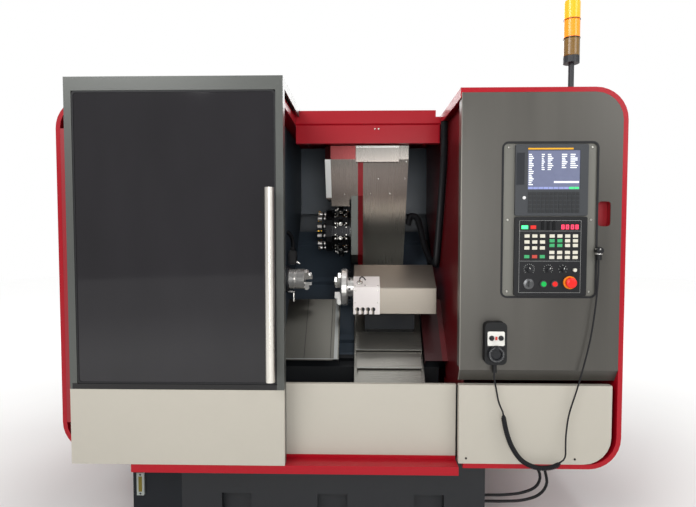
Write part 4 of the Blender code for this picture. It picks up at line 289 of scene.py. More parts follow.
class Finish(ShaderNodes):
    """One material: a Principled shader and the nodes that feed it."""

    def __init__(self, name, tint, roughness=0.5, metallic=0.0, **constants):
        self.material = bpy.data.materials.new(name)
        self.material.use_nodes = True
        self.material.diffuse_color = (*tint, 1.0)
        super().__init__(self.material.node_tree)
        self.shader = self.tree.nodes["Principled BSDF"]
        self.show("Base Color", (*tint, 1.0))
        self.show("Roughness", roughness)
        self.show("Metallic", metallic)
        for socket, value in constants.items():
            self.show(socket.replace("_", " "), value)

    def show(self, socket, value):
        """Feed one socket of the Principled shader."""
        self.feed(self.shader.inputs[socket], value)

    def place(self):
        """Place on the model, as a vector in metres."""
        return self.node("TexCoord", output="Object")

    def places(self):
        """Place across, along and up on the model."""
        return self.parts_of(self.place())

    def noise(self, scale, detail=2.0, stretch=(1, 1, 1)):
        """Cloudy value about 0.5; a larger stretch makes it finer along that axis."""
        scales = tuple(scale * part for part in stretch)
        spread = self.node("VectorMath", {"operation": "MULTIPLY"}, {0: self.place(), 1: scales})
        return self.node("TexNoise", inputs={"Vector": spread, "Scale": 1.0, "Detail": detail})

    def clouded(self, tint, share=0.9):
        """A paint colour that drifts darker in wide, soft clouds."""
        return self.blend(self.noise(2.3, 3.0), toned(tint, share), tint)

    def bump(self, height, strength, distance):
        """Relief in the shading alone."""
        relief = {"Height": height, "Strength": strength, "Distance": distance}
        self.show("Normal", self.node("Bump", inputs=relief))


def painted(name, tint, roughness=0.35, cloud=0.06, metallic=0.0, coat=0.0, shine=0.5):
    """Sprayed and baked paint: slight orange peel, clouds of gloss and a little dust."""
    made = Finish(
        name, tint, roughness, metallic, Coat_Weight=coat, Coat_Roughness=0.12, Specular_IOR_Level=shine
    )
    clouds = made.noise(2.3, 3.0)
    dust = made.noise(38.0, 4.0)
    grime = clouds * 0.7 + dust * 0.3
    made.show("Base Color", made.blend(grime, toned(tint, 1 - cloud * 2), toned(tint, 1 + cloud * 2)))
    made.show("Roughness", roughness + (grime - 0.5) * 0.25)
    made.bump(made.noise(520.0, 1.0), 0.06, 0.0004)
    return made


def brushed(name, tint, roughness=0.3, grain=(4, 700, 700)):
    """Brushed sheet steel, with the grain along the axis of the smallest stretch."""
    made = Finish(name, tint, roughness, 0.9)
    hair = made.noise(1.0, 2.0, grain)
    wide = made.noise(2.4, 2.0)
    made.show("Base Color", made.blend(hair * 0.6 + wide * 0.4, toned(tint, 0.937), toned(tint, 1.063)))
    made.show("Roughness", roughness + (hair - 0.5) * 0.06 + (wide - 0.5) * 0.2)
    made.bump(hair, 0.015, 0.0001)
    return made


def satin_sheet(name, tint, left, roughness=0.34):
    """Satin sheet with soft upright streaks that are painted reflections in its colour, and a painted
    highlight along its left edge.
    """
    made = Finish(name, tint, roughness, 0.55)
    across = made.places()[0]
    smears_and_reflections = made.noise(1.0, 3.0, (9.0, 9.0, 0.8))
    drift = made.noise(1.0, 1.0, (2.2, 2.2, 1.1))
    # The upright streaks make the colour darker and lighter as painted reflections; in the roughness they are
    # smears.
    smeared_reflections = made.blend(smears_and_reflections * 0.5 + drift * 0.5, toned(tint, 0.62), toned(tint, 1.45))
    # The strip along the left edge, at 2.4 times the colour, is a painted highlight.
    made.show("Base Color", made.blend(across < left, smeared_reflections, toned(tint, 2.4)))
    made.show("Roughness", roughness + (smears_and_reflections - 0.5) * 0.25 + (drift - 0.5) * 0.15)
    made.bump(drift, 0.05, 0.001)
    return made


def turned_steel(name, tint, centre, roughness=0.2):
    """Bright turned steel, with fine rings about a centre in the plane across X."""
    made = Finish(name, tint, roughness, 0.72)
    across, along, up = made.places()
    radius = about(along, up, centre)
    rings = made.node("CombineXYZ", inputs={"X": across * 900.0, "Y": radius * 900.0})
    cut = made.node("TexNoise", inputs={"Vector": rings, "Scale": 1.0, "Detail": 1.0})
    smear = made.noise(45.0, 3.0)
    made.show("Base Color", made.blend(cut * 0.6 + smear * 0.4, toned(tint, 0.78), toned(tint, 1.15)))
    made.show("Roughness", roughness + (cut - 0.5) * 0.2 + (smear - 0.5) * 0.15)
    made.bump(cut, 0.08, 0.0004)
    return made


def cast(name, tint, roughness=0.55):
    """Painted casting: coarse skin with lighter wear in places."""
    made = Finish(name, tint, roughness, Specular_IOR_Level=0.25)
    skin = made.noise(150.0, 4.0)
    wear = made.noise(9.0, 5.0)
    made.show("Base Color", made.blend(wear, toned(tint, 0.7), toned(tint, 1.6)))
    made.show("Roughness", roughness + (wear - 0.5) * 0.25)
    made.bump(skin, 0.25, 0.0012)
    return made


def moulded(name, tint, roughness=0.45, glow=None, strength=0.0):
    """Moulded plastic with a fine spark texture; glow is an emission colour."""
    made = Finish(name, tint, roughness, Specular_IOR_Level=0.28)
    spark = made.noise(1400.0, 2.0)
    mottle = made.noise(60.0, 2.0)
    made.show("Base Color", made.blend(mottle, toned(tint, 0.88), toned(tint, 1.1)))
    made.show("Roughness", roughness + (spark - 0.5) * 0.12)
    made.bump(spark, 0.1, 0.0002)
    if glow is not None:
        made.show("Emission Color", (*glow, 1.0))
        made.show("Emission Strength", strength)
    return made


def rubbery(name, tint, roughness=0.6):
    """Black rubber or cord sheath, with a dull dusty bloom."""
    made = Finish(name, tint, roughness, Specular_IOR_Level=0.22)
    bloom = made.noise(70.0, 4.0)
    made.show("Base Color", made.blend(bloom, tint, tuple(level * 1.8 + 0.002 for level in tint)))
    made.show("Roughness", roughness + (bloom - 0.5) * 0.2)
    made.bump(made.noise(900.0, 2.0), 0.12, 0.0003)
    return made


def smoked_glass(name, tint):
    """Dark smoked safety window, with faint wipe marks in its gloss."""
    made = Finish(name, tint, 0.05, IOR=1.5, Coat_Weight=0.1, Coat_Roughness=0.02, Specular_IOR_Level=0.3)
    wipes = made.noise(5.0, 4.0, (1.0, 1.0, 0.35))
    made.show("Roughness", 0.03 + wipes * 0.06)
    made.show("Base Color", made.blend(wipes, toned(tint, 0.7), toned(tint, 1.3)))
    return made


def about(first, second, place):
    """Distance from a place in a plane."""
    return ((first - place[0]) ** 2.0 + (second - place[1]) ** 2.0).root()


def panel_surface(made, plate, caps_tone):
    """Dark panel plate with a fine spark, and another tone on the caps that stand out from it."""
    spark = made.noise(1100.0, 2.0)
    caps = made.places()[1] < PANEL_FACE - CAP_RISE
    made.show("Base Color", made.blend(caps, made.blend(spark, plate, toned(plate, 1.5)), caps_tone))
    made.show("Roughness", 0.36 + spark * 0.12)
    made.bump(spark, 0.1, 0.0002)


def display_panel(name, plate, cap):
    """Dark display unit whose raised key caps differ from the plate between them."""
    made = Finish(name, plate, 0.42, Specular_IOR_Level=0.35)
    panel_surface(made, plate, cap)
    return made


def key_panel(name, plate, cream):
    """Operation panel: dark plate, cream keys with a few green and red ones, and an orange stop collar."""
    made = Finish(name, plate, 0.42, Specular_IOR_Level=0.3)
    across, _, up = made.places()
    green, red = paint_colour(58, 150, 96), paint_colour(176, 66, 56)
    tone = made.blend(made.noise(1100.0, 2.0), cream, toned(cream, 1.1))
    foot_row = up < LEFT_KEYS_FOOT
    tone = made.blend(foot_row * (across < LEFT_KEYS_END), tone, green)
    tone = made.blend(foot_row * across.between(*RED_KEY), tone, red)
    tone = made.blend(across.between(*GREEN_KEYS) * up.between(*GREEN_ROWS), tone, green)
    for place in BEZELS:
        tone = made.blend(about(across, up, place) < BEZEL_RADIUS, tone, paint_colour(58, 60, 62))
    collar = about(across, up, STOP_COLLAR) < STOP_COLLAR_RADIUS
    panel_surface(made, plate, made.blend(collar, tone, paint_colour(226, 122, 24)))
    return made


def two_tone(name, tint, other, axis, place, roughness=0.42):
    """Paint that changes to another colour below a place on one axis (0, 1 or 2)."""
    made = painted(name, tint, roughness)
    made.show("Base Color", made.blend(made.places()[axis] < place, made.clouded(tint), other))
    return made


def latched_door(name, tint, low, high):
    """Painted door with a black flush latch near its free edge and steel hinge leaves on the other."""
    made = painted(name, tint, 0.42)
    across, _, up = made.places()
    middle = (low.z + high.z) / 2
    plate = across.between(high.x - 0.060, high.x - 0.030) * up.between(middle - 0.062, middle + 0.062)
    paddle = across.between(high.x - 0.053, high.x - 0.037) * up.between(middle - 0.040, middle + 0.048)
    hinge_rise = (high.z - low.z) * 0.38
    leaves = across.between(low.x + 0.002, low.x + 0.016) * (abs(abs(up - middle) - hinge_rise) < 0.035)
    tone = made.blend(plate, made.clouded(tint), paint_colour(22, 22, 24))
    tone = made.blend(paddle, tone, paint_colour(70, 70, 70))
    made.show("Base Color", made.blend(leaves, tone, paint_colour(150, 150, 146)))
    made.show("Metallic", leaves)
    return made


def framed_door(name, tint, low, high):
    """Satin door paint, with the sill below the window's panes in black."""
    made = painted(name, tint, 0.36, 0.04, 0.2)
    across, along, up = made.places()
    below_window = across.between(low.x - 0.02, high.x) * up.between(low.z - 0.04, low.z + 0.002)
    sill = below_window * (along < low.y + 0.01)
    made.show("Base Color", made.blend(sill, made.clouded(tint, 0.93), paint_colour(20, 19, 20)))
    return made


def corners_of(node):
    """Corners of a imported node's mesh."""
    return [vert.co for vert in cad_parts[node].data.vertices]


def gauged_tank(name, tint, node):
    """Tank casting whose raised level gauge has a bright frame round a yellow glass."""
    corners = corners_of(node)
    face = min(corner.y for corner in corners)
    gauge = [corner for corner in corners if corner.y < face + 0.001]
    left, right = min(corner.x for corner in gauge), max(corner.x for corner in gauge)
    foot, top = min(corner.z for corner in gauge), max(corner.z for corner in gauge)
    middle = (left + right) / 2
    made = cast(name, tint)
    across, along, up = made.places()
    raised = along < face + 0.0115
    glass = across.between(left + 0.008, right - 0.008) * up.between(foot + 0.016, top - 0.016)
    foot_bolt = about(across, up, (middle, foot + 0.008)) < 0.0045
    top_bolt = about(across, up, (middle, top - 0.008)) < 0.0045
    skin = made.blend(made.noise(9.0, 5.0), toned(tint, 0.7), toned(tint, 1.6))
    plate = made.blend(glass, paint_colour(140, 146, 142), paint_colour(104, 92, 34))
    plate = made.blend(foot_bolt + top_bolt, plate, paint_colour(44, 46, 48))
    made.show("Base Color", made.blend(raised, skin, plate))
    return made


def recessed_plate(name, tint, red, edge):
    """Control plate in satin paint whose hand recess is painted red."""
    made = painted(name, tint, 0.38, 0.04, 0.3)
    made.show("Base Color", made.blend(made.places()[0] > edge, made.clouded(tint), red))
    return made


def turret_steel(name, coat, bronze, bright):
    """Blackened turret disc with worn bronze seats near its rim and bright tool shanks."""
    made = Finish(name, coat, 0.3, 0.7)
    across, along, up = made.places()
    shanks = across < -0.086
    bands = across.between(-0.074, -0.067)
    seats = about(along, up, TURRET_AXIS).between(0.1046, 0.1085) * (across > -0.029)
    mottle = made.noise(140.0, 3.0)
    body = made.blend(mottle, toned(coat, 0.6), toned(coat, 1.9))
    body = made.blend(seats * (mottle > 0.45), body, bronze)
    made.show("Base Color", made.blend(shanks + bands, body, bright))
    made.show("Roughness", 0.2 + mottle * 0.25)
    made.bump(mottle, 0.12, 0.0008)
    return made


def column_steel(name, steel, red):
    """Stainless turret column: a painted gloss of highlights and reflections up its face, a red strip, a pale
    left return and a bright edge line that are painted highlights, a painted red reflection along its top,
    and painted shade on the hub.
    """
    made = Finish(name, steel, 0.3, 0.8)
    across, along, up = made.places()
    hair = made.noise(1.0, 2.0, (700, 4, 4))
    wide = made.noise(2.6, 2.0, (1.0, 0.4, 0.4))
    height = (up - COLUMN_FOOT) / (COLUMN_CREST - COLUMN_FOOT)
    # painted_sheen: a ramp up the face, bright at the foot, banded in the middle, dark at the crest, with a
    # warm pink cast; painted highlights and reflections, not the steel's own colour.
    painted_sheen = made.node("ValToRGB", {"stops": [
        (place, (*(part * share * warmth for part, warmth in zip(steel, warm)), 1.0))
        for place, share, warm in (
            (0.0, 2.4, (1.0, 1.0, 0.95)), (0.14, 2.2, (1.0, 1.0, 0.95)), (0.30, 1.05, (1.0, 0.99, 0.94)),
            (0.36, 1.05, (1.0, 0.98, 0.95)), (0.47, 1.8, (1.06, 0.98, 0.94)), (0.60, 1.0, (1.12, 0.95, 0.92)),
            (0.80, 0.8, (1.12, 0.96, 0.94)), (0.9, 0.62, (1.04, 0.97, 0.95)), (1.0, 0.42, (1.0, 0.98, 0.96)),
        )
    ]}, {"Fac": height + (wide - 0.5) * 0.12})
    sheet = made.blend(hair * 0.12, painted_sheen, (0.5, 0.5, 0.5))
    # fascia_red_reflection: the top of the cover, left of the box, turns dark red as a painted reflection of
    # the red beam.
    fascia_red_reflection = (up > COLUMN_FACE[1] + 0.0005) * (across < COLUMN_BOX_LEFT)
    sheet = made.blend(fascia_red_reflection * 0.8, sheet, toned(red, 0.55))
    on_face = along > (COLUMN_FACE[1] - up) * COLUMN_LEAN + (COLUMN_FACE[0] - 0.003)
    strip = across.between(0.114, 0.141) * (up < COLUMN_FACE[1] - 0.002) * (along < 0.24) * on_face
    # side: the pale left return is a painted highlight on a facet that faces the light.
    side = across.between(-0.06, -0.028) * up.between(1.475, COLUMN_FACE[1]) * (along < 0.02)
    # trim_highlight: a bright line along the box's top front edge, a painted highlight.
    trim_highlight = across.between(COLUMN_BOX_LEFT, 0.324) * up.between(1.7235, 1.727) * (along < -0.125) * 0.6
    # hub: the hub, off the leaning face, is painted near black as painted shade.
    hub = across.between(0.06, 0.2) * (up < 1.432) * (1.0 - on_face)
    tone = made.blend(strip, made.blend(hub, sheet, (0.075, 0.078, 0.076)), red)
    made.show("Base Color", made.blend(side + trim_highlight, tone, (0.78, 0.79, 0.77)))
    made.show("Metallic", (1.0 - strip - side) * 0.8)
    made.show("Roughness", 0.28 + (hair - 0.5) * 0.05 + (wide - 0.5) * 0.16 + strip * 0.1)
    made.bump(hair, 0.015, 0.0001)
    return made


def lamp_lens(name, amber, clear, low, tier):
    """Ribbed lamp lens: the top tier is lit amber, the tiers below are darker in colour, and the middle one
    glows at about half strength as painted light spilled from the top tier.
    """
    made = Finish(name, amber, 0.25, Coat_Weight=0.3, Emission_Strength=1.1)
    up = made.places()[2]
    top = up > low + tier * 2
    middle = up.between(low + tier, low + tier * 2)
    ribs = (up * 500.0).wrapped(1.0)
    made.show("Base Color", made.blend(top, made.blend(middle, clear, toned(amber, 0.8)), amber))
    # The middle tier's glow is painted light spilled from the lit top tier.
    made.show("Emission Color", made.blend(top + middle * 0.55, (0, 0, 0), amber))
    made.show("Roughness", 0.2 + ribs * 0.1)
    made.bump(ribs, 0.2, 0.001)
    return made


def shelf(name="lathe_fittings"):
    """Collection that holds the pieces of this file."""
    found = bpy.data.collections.get(name)
    if found is None:
        found = bpy.data.collections.new(name)
        bpy.context.scene.collection.children.link(found)
    return found


def piece(name, shape, body, finish):
    """Turn a bmesh into a named object that rides on a body, if any, and takes a finish."""
    mesh = bpy.data.meshes.new(name)
    bmesh.ops.recalc_face_normals(shape, faces=shape.faces)
    shape.to_mesh(mesh)
    shape.free()
    mesh.shade_smooth()
    mesh.set_sharp_from_angle(angle=math.radians(35.0))
    thing = bpy.data.objects.new(name, mesh)
    mesh.materials.append(finish.material)
    shelf().objects.link(thing)
    if body is not None:
        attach(thing, body)
    return thing


def facing(place, normal):
    """Matrix that stands a shape's +Z along a normal at a place."""
    turned = Vector(normal).to_track_quat("Z", "Y").to_matrix().to_4x4()
    return Matrix.Translation(Vector(place)) @ turned


def add_bar(shape, matrix, extent):
    """Block of an extent about a matrix's middle, and its corners."""
    made = bmesh.ops.create_cube(shape, size=1.0, matrix=matrix @ Matrix.Diagonal((*extent, 1.0)))
    return made["verts"]


def add_slab(shape, low, high, edge=0.0, steps=2):
    """Block between two corners, with softened edges."""
    extent = [high[axis] - low[axis] for axis in range(3)]
    middle = Vector([(high[axis] + low[axis]) / 2 for axis in range(3)])
    corners = add_bar(shape, Matrix.Translation(middle), extent)
    if edge > 0:
        edges = {side for vert in corners for side in vert.link_edges}
        bmesh.ops.bevel(
            shape, geom=list(edges), offset=edge, segments=steps, affect="EDGES", clamp_overlap=True
        )


def upright(low, high, front, back):
    """Corners of an upright block between two (across, up) places and two depths."""
    return (low[0], front, low[1]), (high[0], back, high[1])


def slab_piece(name, blocks, body, finish, edge=0.0, steps=2):
    """Piece of one or more blocks, each given by its two corners."""
    shape = bmesh.new()
    for low, high in blocks:
        add_slab(shape, low, high, edge, steps)
    return piece(name, shape, body, finish)


def add_spoke(shape, centre, angle, reach, extent):
    """Small bar that points away from a dial's centre, at an angle and a distance."""
    turned = Matrix.Translation(centre) @ Matrix.Rotation(-angle, 4, "Y")
    add_bar(shape, turned @ Matrix.Translation((reach, 0, 0)), extent)


def add_turned(shape, profile, matrix, sides=24):
    """Revolve (radius, height) points about the matrix's own Z."""
    rings = []
    for radius, height in profile:
        if radius < 1e-7:
            rings.append([shape.verts.new(matrix @ Vector((0, 0, height)))])
            continue
        rings.append([
            shape.verts.new(matrix @ Vector((
                radius * math.cos(2 * math.pi * side / sides),
                radius * math.sin(2 * math.pi * side / sides), height,
            ))) for side in range(sides)
        ])
    for lower, upper in zip(rings, rings[1:]):
        for side in range(sides):
            after = (side + 1) % sides
            if len(lower) == 1 and len(upper) == 1:
                continue
            if len(lower) == 1:
                shape.faces.new((lower[0], upper[after], upper[side]))
            elif len(upper) == 1:
                shape.faces.new((lower[side], lower[after], upper[0]))
            else:
                shape.faces.new((lower[side], lower[after], upper[after], upper[side]))


def turned_piece(name, profile, places, body, finish, sides):
    """Piece that repeats one turned profile at each of some matrices."""
    shape = bmesh.new()
    for matrix in places:
        add_turned(shape, profile, matrix, sides)
    return piece(name, shape, body, finish)


def add_socket_screw(shape, place, normal, radius):
    """Button-head screw with a hexagon socket, seated on a surface."""
    rise = radius * 0.6
    profile = [
        (0.0, rise * 0.35), (radius * 0.42, rise * 0.35), (radius * 0.48, rise), (radius * 0.62, rise),
        (radius * 0.9, rise * 0.6), (radius, rise * 0.15), (radius, 0.0),
    ]
    add_turned(shape, profile, facing(place, normal), 12)


def screw_piece(name, places, normal, radius, body, finish):
    """Piece of like screws that all look along one normal."""
    shape = bmesh.new()
    for place in places:
        add_socket_screw(shape, place, normal, radius)
    return piece(name, shape, body, finish)


def add_strip(shape, outline, thickness, matrix):
    """Flat outline in the matrix's XY plane, raised to a thickness along its Z."""
    low = [shape.verts.new(matrix @ Vector((across, up, 0.0))) for across, up in outline]
    high = [shape.verts.new(matrix @ Vector((across, up, thickness))) for across, up in outline]
    shape.faces.new(low)
    shape.faces.new(high)
    for one in range(len(outline)):
        other = (one + 1) % len(outline)
        shape.faces.new((low[one], low[other], high[other], high[one]))


def round_corners(left, right, bottom, top, radius, steps=5):
    """Outline of a rectangle with round corners, as (across, up)."""
    points = []
    for across, up, start in (
        (right - radius, bottom + radius, -90), (right - radius, top - radius, 0),
        (left + radius, top - radius, 90), (left + radius, bottom + radius, 180),
    ):
        for step in range(steps + 1):
            angle = math.radians(start + 90 * step / steps)
            points.append((across + radius * math.cos(angle), up + radius * math.sin(angle)))
    return points


def add_frame_ring(shape, outer, inner, front, back):
    """Ring between two outlines with the same count of points, upright, facing the operator."""
    rows = []
    for outline, along in ((outer, back), (outer, front), (inner, front), (inner, back)):
        rows.append([shape.verts.new((across, along, up)) for across, up in outline])
    count = len(outer)
    for row, after in zip(rows, rows[1:] + rows[:1]):
        for one in range(count):
            other = (one + 1) % count
            shape.faces.new((row[one], row[other], after[other], after[one]))


def add_pipe(shape, points, radius, sides=10, sweep=None):
    """Round tube along points; sweep gives a radius for each point."""
    rings = []
    previous = None
    for index, point in enumerate(points):
        before, after = points[max(index - 1, 0)], points[min(index + 1, len(points) - 1)]
        direction = (Vector(after) - Vector(before)).normalized()
        if previous is None:
            side = direction.orthogonal().normalized()
        else:
            side = (previous - direction * previous.dot(direction)).normalized()
        previous = side
        other = direction.cross(side)
        reach = radius if sweep is None else sweep[index]
        rings.append([
            shape.verts.new(
                Vector(point) + side * reach * math.cos(2 * math.pi * step / sides)
                + other * reach * math.sin(2 * math.pi * step / sides)
            ) for step in range(sides)
        ])
    for lower, upper in zip(rings, rings[1:]):
        for step in range(sides):
            after = (step + 1) % sides
            shape.faces.new((lower[step], lower[after], upper[after], upper[step]))
    shape.faces.new(rings[0][::-1])
    shape.faces.new(rings[-1])


def smooth_route(points, spacing):
    """Points along one smooth curve through the route, about a spacing apart."""
    route = [Vector(point) for point in points]
    ends = [route[0] * 2 - route[1], *route, route[-1] * 2 - route[-2]]
    dense = []
    for index in range(1, len(ends) - 2):
        before, start, end, after = ends[index - 1:index + 3]
        for step in range(16):
            part = step / 16
            square, cube = part * part, part * part * part
            dense.append(0.5 * (
                2 * start + (end - before) * part
                + (2 * before - 5 * start + 4 * end - after) * square
                + (3 * start - before - 3 * end + after) * cube
            ))
    dense.append(route[-1])
    total = sum((two - one).length for one, two in zip(dense, dense[1:]))
    count = max(3, round(total / spacing))
    spaced = [dense[0]]
    walked, target = 0.0, total / count
    for one, two in zip(dense, dense[1:]):
        run = (two - one).length
        while run > 0 and walked + run >= target - 1e-9 and len(spaced) < count:
            spaced.append(one.lerp(two, (target - walked) / run))
            target += total / count
        walked += run
    spaced.append(dense[-1])
    return spaced


def path_length(path):
    """Length of a line of points."""
    return sum((two - one).length for one, two in zip(path, path[1:]))


def dress(finish, *nodes):
    """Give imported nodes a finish; their shape and place stay as they are."""
    for node in nodes:
        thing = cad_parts[node]
        thing.data.materials.clear()
        thing.data.materials.append(finish.material)


class LatheColours(bpy.types.PropertyGroup):
    """Colours that a user would change."""

    red: FloatVectorProperty(
        name="Housing red", description="Paint of the end housings and the front beam",
        default=paint_colour(150, 14, 30), subtype="COLOR", size=3, min=0, max=1,
    )
    cabinet: FloatVectorProperty(
        name="Cabinet grey", description="Satin sheet of the control cabinet's front",
        default=paint_colour(76, 74, 70), subtype="COLOR", size=3, min=0, max=1,
    )
    door: FloatVectorProperty(
        name="Door grey", description="Paint of the sliding door's frame",
        default=paint_colour(76, 78, 75), subtype="COLOR", size=3, min=0, max=1,
    )
    cream: FloatVectorProperty(
        name="Cream", description="Paint of the lower front panels",
        default=paint_colour(166, 161, 150), subtype="COLOR", size=3, min=0, max=1,
    )
    walls: FloatVectorProperty(
        name="Inner walls", description="Paint of the work area's walls",
        default=paint_colour(54, 63, 72), subtype="COLOR", size=3, min=0, max=1,
    )
    slate: FloatVectorProperty(
        name="Casting slate", description="Paint of the bed and the coolant tank",
        default=paint_colour(22, 25, 29), subtype="COLOR", size=3, min=0, max=1,
    )
    stainless: FloatVectorProperty(
        name="Stainless", description="Brushed covers inside the work area",
        default=paint_colour(140, 138, 132), subtype="COLOR", size=3, min=0, max=1,
    )
    amber: FloatVectorProperty(
        name="Lamp amber", description="Lens and light of the signal lamp",
        default=paint_colour(255, 140, 20), subtype="COLOR", size=3, min=0, max=1,
    )


class LatheSizes(bpy.types.PropertyGroup):
    """Sizes that a user would change."""

    coil_turns: IntProperty(
        name="Coil turns", description="Turns of the curly part of the pendant cord",
        default=52, min=10, max=120,
    )
    cord_radius: FloatProperty(
        name="Cord radius", description="Radius of the pendant cord's thin ends",
        default=0.0035, unit="LENGTH", min=0.001, max=0.01, precision=4,
    )
    coil_radius: FloatProperty(
        name="Coil radius", description="Outer radius of the curly part",
        default=0.0105, unit="LENGTH", min=0.004, max=0.03, precision=4,
    )
    screw_radius: FloatProperty(
        name="Screw radius", description="Head radius of the small button screws",
        default=0.0052, unit="LENGTH", min=0.001, max=0.02, precision=4,
    )


def colour(name):
    """Colour that the sidebar holds."""
    return tuple(getattr(bpy.context.scene.lathe_colours, name))


def size(name):
    """Size that the sidebar holds."""
    return getattr(bpy.context.scene.lathe_sizes, name)


class LATHE_OT_stage(bpy.types.Operator):
    """Pale floor, soft lights, plain surroundings and the camera"""

    bl_idname = "lathe.stage"
    bl_label = "Stage and camera"

    def execute(self, context):
        scene = context.scene
        scene.view_settings.view_transform = "Standard"
        self.build_floor(scene)
        self.build_world(scene)
        self.build_lamps(scene)
        self.build_camera(scene)
        return {"FINISHED"}

    def build_floor(self, scene):
        """Pale floor that fades to white away from the machine."""
        shape = bmesh.new()
        bmesh.ops.create_circle(shape, cap_ends=True, segments=64, radius=FLOOR_RADIUS)
        mesh = bpy.data.meshes.new("floor")
        shape.to_mesh(mesh)
        shape.free()
        floor = bpy.data.objects.new("floor", mesh)
        scene.collection.objects.link(floor)
        finish = Finish("pale_floor", (0.72, 0.72, 0.71), 0.55, Emission_Strength=1.0)
        pale, paler = (0.70, 0.70, 0.69), (0.76, 0.76, 0.75)
        finish.show("Base Color", finish.blend(finish.noise(0.7, 3.0), pale, paler))
        across, along, _ = finish.places()
        away = (about(across, along, (0.0, 0.0)) - FADE_START) / FADE_LENGTH
        fade = finish.node("Clamp", inputs={"Value": away})
        finish.show("Emission Color", finish.blend(fade, (0, 0, 0), (0.62, 0.62, 0.62)))
        mesh.materials.append(finish.material)
        floor.location = (0.0, 0.0, -0.0002)

    def build_world(self, scene):
        """White surroundings for the camera and through the window, and dimmer ones as a light."""
        world = bpy.data.worlds.new("plain_surroundings")
        scene.world = world
        world.use_nodes = True
        nodes = ShaderNodes(world.node_tree)
        rays = nodes.node("LightPath").socket.node.outputs
        camera_ray, glossy_ray, window_ray = (
            Wire(nodes, rays[name]) for name in ("Is Camera Ray", "Is Glossy Ray", "Is Transmission Ray")
        )
        level = camera_ray.larger(window_ray) * (1.0 - SURROUNDINGS_LIGHT) + SURROUNDINGS_LIGHT
        background = nodes.tree.nodes["Background"].inputs
        nodes.feed(background["Color"], (1.0, 1.0, 1.0, 1.0))
        nodes.feed(background["Strength"], level + glossy_ray * SURROUNDINGS_GLOSS)

    def build_lamps(self, scene):
        """Soft rectangular lamps round the machine."""
        for name, place, aim, (width, height), power in LAMPS:
            data = bpy.data.lights.new(name, "AREA")
            data.shape = "RECTANGLE"
            data.size = width
            data.size_y = height
            data.energy = power
            lamp = bpy.data.objects.new(name, data)
            scene.collection.objects.link(lamp)
            lamp.matrix_world = facing(place, Vector(place) - Vector(aim))

    def build_camera(self, scene):
        """Camera in the photo's place."""
        camera = bpy.data.objects.new("camera", bpy.data.cameras.new("camera"))
        scene.collection.objects.link(camera)
        camera.data.lens = CAMERA_LENS
        camera.data.sensor_width = CAMERA_SENSOR
        camera.data.clip_end = 60.0
        camera.location = CAMERA_PLACE
        camera.rotation_euler = (math.radians(CAMERA_TILT), 0.0, math.radians(CAMERA_TURN))
        scene.camera = camera


